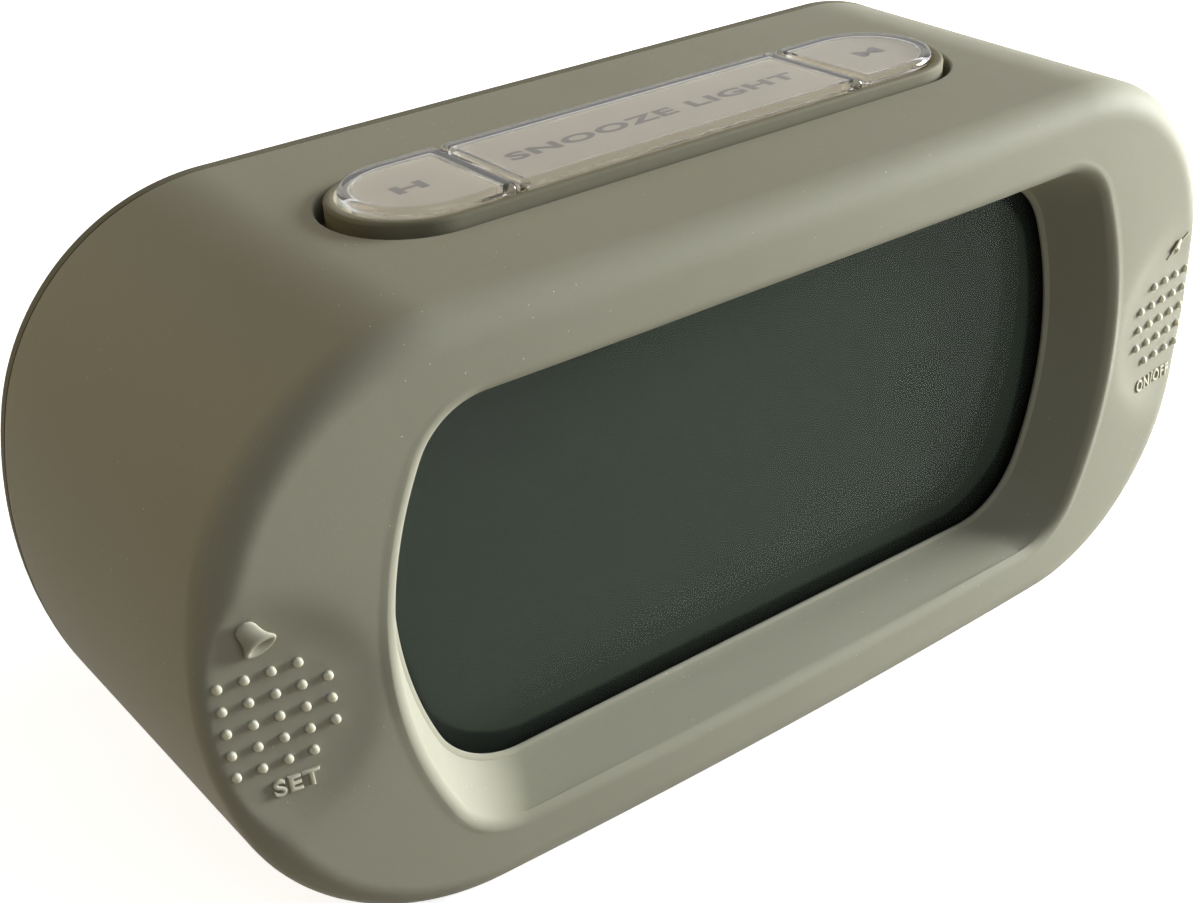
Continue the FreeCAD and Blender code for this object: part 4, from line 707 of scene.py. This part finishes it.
def face_loops(start):
    """Over the face from the lip to the rounded edge, round it and back along the sides."""
    loops = []
    outer, out = outline(*FACE)
    edge_start = outer - out * FRONT_EDGE
    inner = start[:, [0, 2]] - (0, MID_Z)
    for share in steps(FACE_LOOPS):
        across = inner + (edge_start - inner) * share
        loops.append(upright_loop(across, face_y(across[:, 0])))
    for turn in steps(EDGE_LOOPS, math.pi / 2):
        across = outer - out * FRONT_EDGE * (1 - math.sin(turn))
        y = face_y(across[:, 0]) + FRONT_EDGE * (1 - math.cos(turn))
        loops.append(upright_loop(across, y))
    start_y = loops[-1][:, 1]
    for share in steps(SIDE_LOOPS) ** 0.8:
        loops.append(upright_loop(outer, start_y + (SKIN_END_Y - REAR_EDGE - start_y) * share))
    for turn in steps(REAR_LOOPS, math.pi / 2):
        across = outer - out * REAR_EDGE * (1 - math.cos(turn))
        loops.append(upright_loop(across, SKIN_END_Y - REAR_EDGE * (1 - math.sin(turn))))
    for loop in loops:
        x, y, z = loop.T
        loop[:, 1] = np.where(y < HOUSING_Y + DISH_REACH, np.maximum(y, dished(x, y, z)), y)
    return [drafted(loop, out) for loop in loops]


def inner_loops():
    """Inside of the skin, from its rear edge forwards and in to the funnel's lining."""
    inner, _ = outline(*grown(FACE, DRAFT - SKIN))
    lining, _ = outline(*grown(THROAT, LINING))
    loops = [upright_loop(inner, y) for y in np.linspace(SKIN_END_Y, HOUSING_Y, INNER_LOOPS)]
    loops += [upright_loop(inner + (lining - inner) * share, HOUSING_Y)
              for share in steps(LINING_LOOPS)]
    loops.append(upright_loop(lining, LINING_END_Y))
    return loops


def make_lens(material):
    """Clear lens behind the funnel's lining, with its edges broken."""
    shape = grown(THROAT, LINING + LENS_MARGIN)
    front, back, edge = LENS_LOW[1], LENS_HIGH[1], LENS_MARGIN
    sections = [(edge, front), (0.0, front + edge), (0.0, back - edge), (edge, back)]
    loops = [upright_loop(outline(*grown(shape, -inset))[0], y) for inset, y in sections]
    lens = mesh_object("clear_window", *solid_loops(loops))
    finish_piece(lens, material, "root")
    lens.visible_shadow = False     # clear plastic doesn't shade what lies under it
    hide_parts("display_lens")


def stadium(length, width, z):
    """Level loop with two half circles, about the key row's middle."""
    radius = width / 2
    turn = np.linspace(-math.pi / 2, math.pi / 2, SLOT_STEPS + 1)
    right = np.stack([length / 2 - radius + radius * np.cos(turn), radius * np.sin(turn)], 1)
    loop = np.vstack([right, -right])
    return np.stack([loop[:, 0], loop[:, 1] + KEY_MIDDLE_Y, np.full(len(loop), z)], 1)


def slot_cutter():
    """Tool for the key slot; its upper end flares so that the rim comes out rounded."""
    loops = [stadium(SLOT_LENGTH, SLOT_WIDTH, HOUSING_HIGH[2] - SLOT_END)]
    top = MID_Z + FACE_HEIGHT / 2
    for turn in np.linspace(0, math.pi / 2, 6):
        more = 2 * SLOT_EDGE * (1 - math.cos(turn))
        loop = stadium(SLOT_LENGTH + more, SLOT_WIDTH + more, top)
        slope = 2 * DRAFT * (loop[:, 1] - FRONT_Y) / DEPTH
        loop[:, 2] += slope - SLOT_EDGE * (1 - math.sin(turn))
        loops.append(loop)
    loops.append(loops[-1] + (0, 0, CUT_OUT))
    return mesh_object("slot_cutter", *solid_loops(loops))


def pad_ring(side, radius, y, count):
    """Upright circle about the middle of a press pad."""
    turn = full_turn(count)
    return np.stack([side * PAD_X + radius * np.cos(turn), np.full(count, y),
                     PAD_Z + radius * np.sin(turn)], 1)


def well_cutter(side):
    """Tool for the hole behind a press pad."""
    ends = (FRONT_Y - CUT_OUT, HOUSING_Y + WELL_END)
    loops = [pad_ring(side, PATCH, y, WELL_STEPS) for y in ends]
    return mesh_object("well_cutter", *solid_loops(loops))


def make_sleeve(material):
    funnel = funnel_loops()
    loops = funnel + face_loops(funnel[-1]) + inner_loops()
    points, faces = skin_loops(loops, ring=True)
    sleeve = mesh_object("sleeve_skin", points, faces)
    close_normals(sleeve.data)
    cut_away(sleeve, slot_cutter(), well_cutter(-1), well_cutter(1))
    finish_piece(sleeve, material, "root")
    even_normals(sleeve)
    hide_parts("silicone_sleeve")


# ---- Press pads ----
def patch_grid(side, radii, turns, closed):
    """Piece of the flexing skin in polar steps, with its back."""
    front = []
    for radius in radii:
        x = side * (PAD_X + radius * np.cos(turns))
        z = PAD_Z + radius * np.sin(turns)
        dip = PATCH_DIP if radius > PATCH else 0.0
        front.append(np.stack([x, pad_surface(x, z) + dip, z], 1))
    loops = front + [ring + (0, PATCH_WALL, 0) for ring in reversed(front)]
    points, faces = skin_loops(loops, ring=True, closed=closed)
    if not closed:
        near = range(0, len(points), len(turns))
        faces += [tuple(near), tuple(k + len(turns) - 1 for k in reversed(near))]
    return points, faces


def stud_places():
    """Grip studs as (outward, upward) offsets from the pad's middle."""
    for column in range(-2, 3):
        for row in range(-2, 3):
            if not (column == -2 and abs(row) == 2):
                yield column * STUD_PITCH, row * STUD_PITCH


def stud_mesh(side, out, up):
    """Small rounded stud whose foot runs out into the skin."""
    profile = [(0.62, 0.04), (0.55, -0.04), (0.52, -0.14), (0.515, -0.24), (0.48, -0.37),
               (0.40, -0.48), (0.28, -0.56), (0.12, -STUD_HEIGHT)]
    x, z = side * (PAD_X + out), PAD_Z + up
    turn = full_turn(STUD_STEPS)
    loops = []
    for radius, rise in profile:
        across, upward = x + radius * np.cos(turn), z + radius * np.sin(turn)
        loops.append(np.stack([across, pad_surface(across, upward) + rise, upward], 1))
    return solid_loops(loops)


def paint_highlight_and_rub(piece, amount=1.0):
    """Stores how much paler each point is painted, a painted highlight and rubbing, from its height
    above the skin.
    """
    vertices = piece.data.vertices
    points = np.array([tuple(vertex.co) for vertex in vertices]) / MM
    above = pad_surface(points[:, 0], points[:, 2]) - points[:, 1]
    layer = piece.data.attributes.new("highlight_and_rub", "FLOAT", "POINT")
    layer.data.foreach_set("value", amount * np.clip(above / HIGHLIGHT_AND_RUB_RISE, 0, 1))


def joined(parts):
    """One list of points and faces from several."""
    points, faces, offset = [], [], 0
    for part_points, part_faces in parts:
        points.append(np.asarray(part_points))
        faces += [tuple(i + offset for i in face) for face in part_faces]
        offset += len(part_points)
    return np.vstack(points), faces


def pad_post(side):
    """Post behind the pad, down to the switch."""
    end = PAD_BOXES["alarm"][1][1]
    sections = [(POST, DISH_Y + PATCH_WALL), (POST, end - POST_TIP), (POST * POST_TAPER, end)]
    return solid_loops([pad_ring(side, radius, y, POST_STEPS) for radius, y in sections])


def pad_piece(name, parts, material, body=None):
    """One piece of a pad from several parts, with its studs painted paler by height, a painted
    highlight and rubbing.
    """
    piece = mesh_object(name, *joined(parts))
    finish_piece(piece, material, body)
    paint_highlight_and_rub(piece)
    return piece


def make_pad(side, word, material):
    """Disc that moves as one, webs round it that stay put, and studs on the sleeve."""
    body = word + "_button"
    studs = list(stud_places())
    reach = [math.hypot(*place) for place in studs]
    radii = [0.02, 0.5] + list(np.linspace(1.0, DISC, 8))
    parts = [patch_grid(side, radii, full_turn(10 * WEB_SECTORS), True), pad_post(side)]
    parts += [stud_mesh(side, *place) for place, far in zip(studs, reach) if far < DISC]
    disc = pad_piece(word + "_pad_disc", parts, material, body)
    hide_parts(word + "_pad")

    half = math.pi / WEB_SECTORS
    radii = list(np.linspace(DISC, PATCH, 9)) + [PATCH + PATCH_TUCK]
    for i in range(WEB_SECTORS):
        middle = 2 * half * i
        parts = [patch_grid(side, radii, np.linspace(middle - half, middle + half, 11), False)]
        for (out, up), far in zip(studs, reach):
            turn = math.atan2(up, out) - middle
            turn = (turn + math.pi) % (2 * math.pi) - math.pi
            if DISC <= far < PATCH and -half <= turn < half:
                parts.append(stud_mesh(side, out, up))
        web = pad_piece("%s_pad_web_%02d" % (word, i + 1), parts, material)
        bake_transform(web)

    outer = [stud_mesh(side, *place) for place, far in zip(studs, reach) if far >= PATCH]
    pad_piece(word + "_outer_studs", outer, material, "root")


# ---- Keys ----
def key_loop(low, high, inset, z, left_radius, right_radius):
    """Level loop of a key: a rectangle whose corners are rounded, more at the row's ends."""
    x0, x1, y0, y1 = low[0] + inset, high[0] - inset, low[1] + inset, high[1] - inset
    left, right = max(left_radius - inset, KEY_LEAST), max(right_radius - inset, KEY_LEAST)
    corners = [(x1 - right, y0 + right, right, -90), (x1 - right, y1 - right, right, 0),
               (x0 + left, y1 - left, left, 90), (x0 + left, y0 + left, left, 180)]
    points = []
    for x, y, radius, start in corners:
        turn = np.radians(np.linspace(start, start + 90, KEY_CORNER_STEPS + 1))
        points.append(np.stack([x + radius * np.cos(turn), y + radius * np.sin(turn),
                                np.full(len(turn), z)], 1))
    return np.vstack(points)


def key_loops(key, sections):
    """Level loops of a key, each set in from its cap's outline by an inset, at a height."""
    low, high = box_mm(key + "_key_cap")
    round_end = (high[1] - low[1]) / 2
    left = round_end if key == "hour" else KEY_CORNER
    right = round_end if key == "minute" else KEY_CORNER
    return [key_loop(low, high, inset, z, left, right) for inset, z in sections]


def quarter_turn(count=5):
    """Angles of a rounded edge, from its lower to its upper end."""
    return np.linspace(0, math.pi / 2, count)


def legend_sections(key, bond=0.0):
    """Insets and heights up the side of a legend plate: foot, step, raised part."""
    low = box_mm(key + "_key_cap")[0][2] - LEGEND_PROUD
    top = box_mm(key + "_legend_plate")[1][2] + bond
    step = top - LEGEND_STEP
    foot, raised = KEY_SKIRT - bond, KEY_WALL - bond
    return [(foot, low), (foot, step), (raised, step), (raised, top)]


def make_key_cap(key, material):
    """Clear cap: rounded upper edge outside, the shape of the legend plate inside."""
    low, top = (corner[2] for corner in box_mm(key + "_key_cap"))
    outside = [(KEY_EDGE * (1 - math.cos(turn)), top - KEY_EDGE * (1 - math.sin(turn)))
               for turn in reversed(quarter_turn(9))]
    outside += [(0.0, low + KEY_BREAK), (KEY_BREAK, low)]
    (foot, _), step, (raised, _), (_, bond_z) = legend_sections(key)
    crest, across, down = bond_z + GROOVE_RISE, *GROOVE_BREAK
    inside = [(foot, low), step, (raised - GROOVE, step[1]), (raised - GROOVE, crest - down),
              (raised - GROOVE + across, crest), (raised - across, crest),
              (raised, crest - down), (raised, bond_z)]
    cap = mesh_object(key + "_clear_cap", *solid_loops(key_loops(key, outside + inside)))
    finish_piece(cap, material, key + "_key")
    even_normals(cap)
    cap.visible_shadow = False      # as for the lens
    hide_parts(key + "_key_cap")


def make_legend_plate(key, material):
    """Pale plate bonded into a clear cap, which is wider at its foot."""
    loops = key_loops(key, legend_sections(key, BOND))
    plate = mesh_object(key + "_plate", *solid_loops(loops))
    finish_piece(plate, material, key + "_key")
    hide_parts(key + "_legend_plate")


def make_key_collar(material):
    """Raised collar: full size down in the slot, narrower and rounded where it shows."""
    low, high = box_mm("hour_key_cap")[0], box_mm("minute_key_cap")[1]
    bore = (high - low)[:2] + 2 * KEY_GAP
    top, foot = np.array(COLLAR_TOP), (COLLAR_HIGH - COLLAR_LOW)[:2]
    inner, outer = COLLAR_EDGES
    crest, ledge = COLLAR_HIGH[2], COLLAR_HIGH[2] - COLLAR_LEDGE
    sections = [(bore, COLLAR_LOW[2])]
    sections += [(bore + 2 * inner * (1 - math.cos(turn)), crest - inner * (1 - math.sin(turn)))
                 for turn in quarter_turn()]
    sections += [(top - 2 * outer * (1 - math.cos(turn)), crest - outer * (1 - math.sin(turn)))
                 for turn in reversed(quarter_turn(7))]
    sections += [(top, ledge), (foot, ledge), (foot, COLLAR_LOW[2])]
    points, faces = skin_loops([stadium(*size, z) for size, z in sections], ring=True)
    collar = mesh_object("collar_ring", points, faces)
    finish_piece(collar, material, "root")
    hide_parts("key_collar")


# ---- Signs: raised on the skin, printed on the legend plates ----
LETTER_SIZE = 10.0          # size at which letters are made before they are scaled
PUFF, PUFF_EDGE = -0.08, 0.48   # weight and rounding of raised letters, at that size
BELL_LEAN = math.radians(36)    # of its axis out of the plane
BELL_RELIEF = 0.27              # share of its height that is left
BELL_FOOT, BELL_SLOPE = 0.12, 0.09      # height of its axis at the crown, and growth from there
# Raised marks, each with its place on the skin (x, z): a bell's size and turn in degrees, a word's
# length, height and depth, a bar's ends and radius, and how much the marks are painted paler, a
# painted highlight and rubbing
SET_BELL, SET_BELL_HIGHLIGHT_AND_RUB = ((-70.85, 47.1), 3.0, -65), 0.2
SET_WORD = (-68.65, 27.0), (5.1, 2.0, 0.75)
ALARM_BELL = (70.8, 46.2), 1.5, -120
ALARM_BAR = (70.4, 45.3), ((-1.5, -1.0, -0.05), (2.5, 1.6, -0.05), 0.22)
ALARM_WORD = (69.1, 26.4), (8.6, 1.8, 0.5)
MARK_HIGHLIGHT_AND_RUB = 0.6
# Printed marks: text, length, height
PRINTED = {"hour": ("H", 3.9, 2.5), "snooze": ("SNOOZE LIGHT", 42.3, 2.6),
           "minute": ("M", 3.9, 2.5)}
PRINT_WEIGHT = 0.4          # thickens printed strokes, at the size that letters are made in


def lettering(words, length, height, depth, weight, rounding):
    """Plain capitals as points (right, up, out) about their middle, and faces.

    Weight thickens the strokes, at the size that the letters are made in.
    """
    curve = bpy.data.curves.new("lettering", "FONT")
    curve.body = words
    curve.align_x, curve.align_y = "CENTER", "CENTER"
    curve.size = LETTER_SIZE
    curve.space_character = 1.12
    curve.offset = weight
    curve.extrude = 0.25 if rounding else 1.0
    curve.bevel_depth = rounding
    curve.bevel_resolution = 3
    curve.resolution_u = 6
    item = add_object("lettering", curve)
    shapes = bpy.context.evaluated_depsgraph_get()
    shapes.update()
    mesh = bpy.data.meshes.new_from_object(item.evaluated_get(shapes))
    points = np.array([tuple(vertex.co) for vertex in mesh.vertices])
    faces = [tuple(polygon.vertices) for polygon in mesh.polygons]
    bpy.data.batch_remove((item, mesh, curve))
    low, high = points.min(0), points.max(0)
    points = (points - (low + high) / 2) / (high - low) * (length, height, depth)
    return points, faces


def on_skin(points, x, z):
    """Carries (right, up, out) points onto the front of the skin round (x, z)."""
    across, up = x + points[:, 0], z + points[:, 1]
    return np.stack([across, pad_surface(across, up) - points[:, 2], up], 1)


def bell(length, degrees):
    """Hand bell that leans out of a plane: crown, flared wall, thick rim and hollow mouth.

    Its crown is at the middle and length is the way from there to its mouth. Heights out of the
    plane are flattened, as in a low relief.
    """
    profile = [(-0.34, 0.02), (-0.32, 0.13), (-0.24, 0.25), (-0.12, 0.33), (0.02, 0.365),
               (0.22, 0.38), (0.44, 0.40), (0.64, 0.445), (0.80, 0.50), (0.92, 0.555),
               (1.02, 0.60), (1.11, 0.59), (1.16, 0.54), (1.15, 0.47), (1.06, 0.41),
               (0.84, 0.35), (0.62, 0.30), (0.50, 0.18), (0.48, 0.02)]
    turn = math.radians(degrees)
    way = np.array([math.cos(turn), math.sin(turn)])
    side = np.array([-math.sin(turn), math.cos(turn)])
    angles = full_turn(28)[:, None]
    loops = []
    for along, radius in profile:
        up = radius * np.sin(angles)
        flat = way * (along * math.cos(BELL_LEAN) - up * math.sin(BELL_LEAN))
        flat = flat + side * radius * np.cos(angles)
        height = BELL_FOOT + BELL_SLOPE * along + BELL_RELIEF * up
        loops.append(length * np.hstack([flat, height]))
    return solid_loops(loops)


def rounded_bar(start, end, radius):
    """Bar with round ends, half sunk in a plane."""
    start, end = np.array(start), np.array(end)
    way = (end - start) / np.linalg.norm(end - start)
    side, out = np.array([-way[1], way[0], 0.0]), np.array([0.0, 0.0, 1.0])
    stations = [(start - way * radius * math.cos(t), radius * math.sin(t))
                for t in np.linspace(0.05, math.pi / 2, 6)]
    stations += [(end + way * radius * math.cos(t), radius * math.sin(t))
                 for t in np.linspace(math.pi / 2, 0.05, 6)]
    angles = full_turn(12)[:, None]
    return solid_loops([centre + reach * (side * np.cos(angles) + out * np.sin(angles))
                        for centre, reach in stations])


def make_raised_signs(material):
    """Generic marks by the pads: a bell and SET, a crossed-out bell and ON/OFF."""
    puff = PUFF, PUFF_EDGE
    signs = [("set_bell", SET_BELL[0], bell(*SET_BELL[1:]), SET_BELL_HIGHLIGHT_AND_RUB),
             ("set_word", SET_WORD[0], lettering("SET", *SET_WORD[1], *puff), MARK_HIGHLIGHT_AND_RUB),
             ("alarm_bell", ALARM_BELL[0], bell(*ALARM_BELL[1:]), MARK_HIGHLIGHT_AND_RUB),
             ("alarm_bell_bar", ALARM_BAR[0], rounded_bar(*ALARM_BAR[1]), MARK_HIGHLIGHT_AND_RUB),
             ("alarm_word", ALARM_WORD[0], lettering("ON/OFF", *ALARM_WORD[1], *puff), MARK_HIGHLIGHT_AND_RUB)]
    for name, place, (points, faces), highlight_and_rub_share in signs:
        sign = mesh_object(name, on_skin(points, *place), faces)
        finish_piece(sign, material, "root", SIGN_CREASE)
        # raised marks painted paler by height: painted highlight and rubbing
        paint_highlight_and_rub(sign, highlight_and_rub_share)


def make_printed_signs(material):
    """Generic words on the legend plates, a thin film of ink each."""
    for key, (text, length, height) in PRINTED.items():
        low, high = box_mm(key + "_legend_plate")
        points, faces = lettering(text, length, height, INK, PRINT_WEIGHT, 0.0)
        middle = (low + high) / 2
        points = points + (middle[0], middle[1], high[2] + BOND + INK / 2)
        ink = mesh_object(key + "_letters", points, faces)
        finish_piece(ink, material, key + "_key")


# ---- Stage ----
def seen_or_lighting(tree):
    """1 for what is seen, mirrored or looked through, 0 for light that falls on the object.

    Light that reaches a surface through clear plastic counts as looked through.
    """
    path = tree.nodes.new("ShaderNodeLightPath").outputs
    seen = math_node(tree, "MAXIMUM", path["Is Camera Ray"], path["Is Glossy Ray"])
    return math_node(tree, "MAXIMUM", seen, path["Is Transmission Ray"])


def make_stage():
    corners = [(-1, -1, 0), (1, -1, 0), (1, 1, 0), (-1, 1, 0)]
    floor = mesh_object("floor", FLOOR_REACH * np.array(corners), [(0, 1, 2, 3)])
    look = Look("pale_floor", Roughness=0.9, Specular_IOR_Level=0.1,
                Emission_Color=(1.0, 1.0, 1.0, 1.0))
    pale = look.mix(look.noise(6.0, 3.0), (0.90, 0.90, 0.90), (0.88, 0.88, 0.88))
    seen = seen_or_lighting(look.material.node_tree)
    look.set("Base Color", look.mix(seen, (0.40, 0.37, 0.30), pale))
    far = look.nodes.new("ShaderNodeVectorMath")
    far.operation = "LENGTH"
    look.link(look.place, far.inputs[0])
    glow = look.spread(far.outputs["Value"], FLOOR_GLOW, 1.0)
    look.set("Emission Strength", look.math("MULTIPLY", seen, glow))
    floor.data.materials.append(look.material)


def softbox(name, place, side, power, colour):
    data = bpy.data.lights.new(name, "AREA")
    data.shape = "SQUARE"
    data.size = side
    data.energy = power
    data.color = colour
    lamp = add_object(name, data)
    lamp.location = Vector(place)
    lamp.rotation_mode = "QUATERNION"
    lamp.rotation_quaternion = (Vector(LIGHT_AIM) - Vector(place)).to_track_quat("-Z", "Y")
    lamp.visible_transmission = False   # no stray sparks under clear plastic


def make_light():
    world = bpy.data.worlds.new("studio")
    bpy.context.scene.world = world
    world.use_nodes = True
    tree = world.node_tree
    fill, seen = tree.nodes["Background"], tree.nodes.new("ShaderNodeBackground")
    for light in (fill, seen):
        light.inputs["Color"].default_value = (1.0, 1.0, 1.0, 1.0)
    fill.inputs["Strength"].default_value = FILL
    camera_ray = tree.nodes.new("ShaderNodeLightPath").outputs["Is Camera Ray"]
    strength = math_node(tree, "MULTIPLY_ADD", camera_ray, 1.0 - GLASS_GLOW, GLASS_GLOW)
    tree.links.new(strength, seen.inputs["Strength"])
    choose = tree.nodes.new("ShaderNodeMixShader")
    tree.links.new(seen_or_lighting(tree), choose.inputs["Fac"])
    tree.links.new(fill.outputs["Background"], choose.inputs[1])
    tree.links.new(seen.outputs["Background"], choose.inputs[2])
    tree.links.new(choose.outputs["Shader"], tree.nodes["World Output"].inputs["Surface"])
    for name, values in LIGHTS.items():
        softbox(name, *values)


# ---- Assembly ----
def dress(looks):
    """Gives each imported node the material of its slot."""
    for subpart in frame["record"]["subparts"]:
        mesh = frame["nodes"][subpart["node"]].data
        mesh.materials.clear()
        mesh.materials.append(looks[subpart["material_slot"]])


bpy.context.scene.view_settings.view_transform = "Standard"
make_camera()
make_stage()
make_light()

LOOKS = make_looks()
SILICONE = LOOKS["silicone"]
dress(LOOKS)
make_sleeve(SILICONE)
make_lens(LOOKS["clear_lens"])
make_pad(-1, "set", SILICONE)
make_pad(1, "alarm", SILICONE)
make_raised_signs(SILICONE)
make_key_collar(LOOKS["housing_plastic"])
for key in KEYS:
    make_legend_plate(key, LOOKS["legend_plastic"])
    make_key_cap(key, LOOKS["clear_key"])
make_printed_signs(moulded("legend_ink", (0.10, 0.09, 0.072), 0.5, 1500.0))
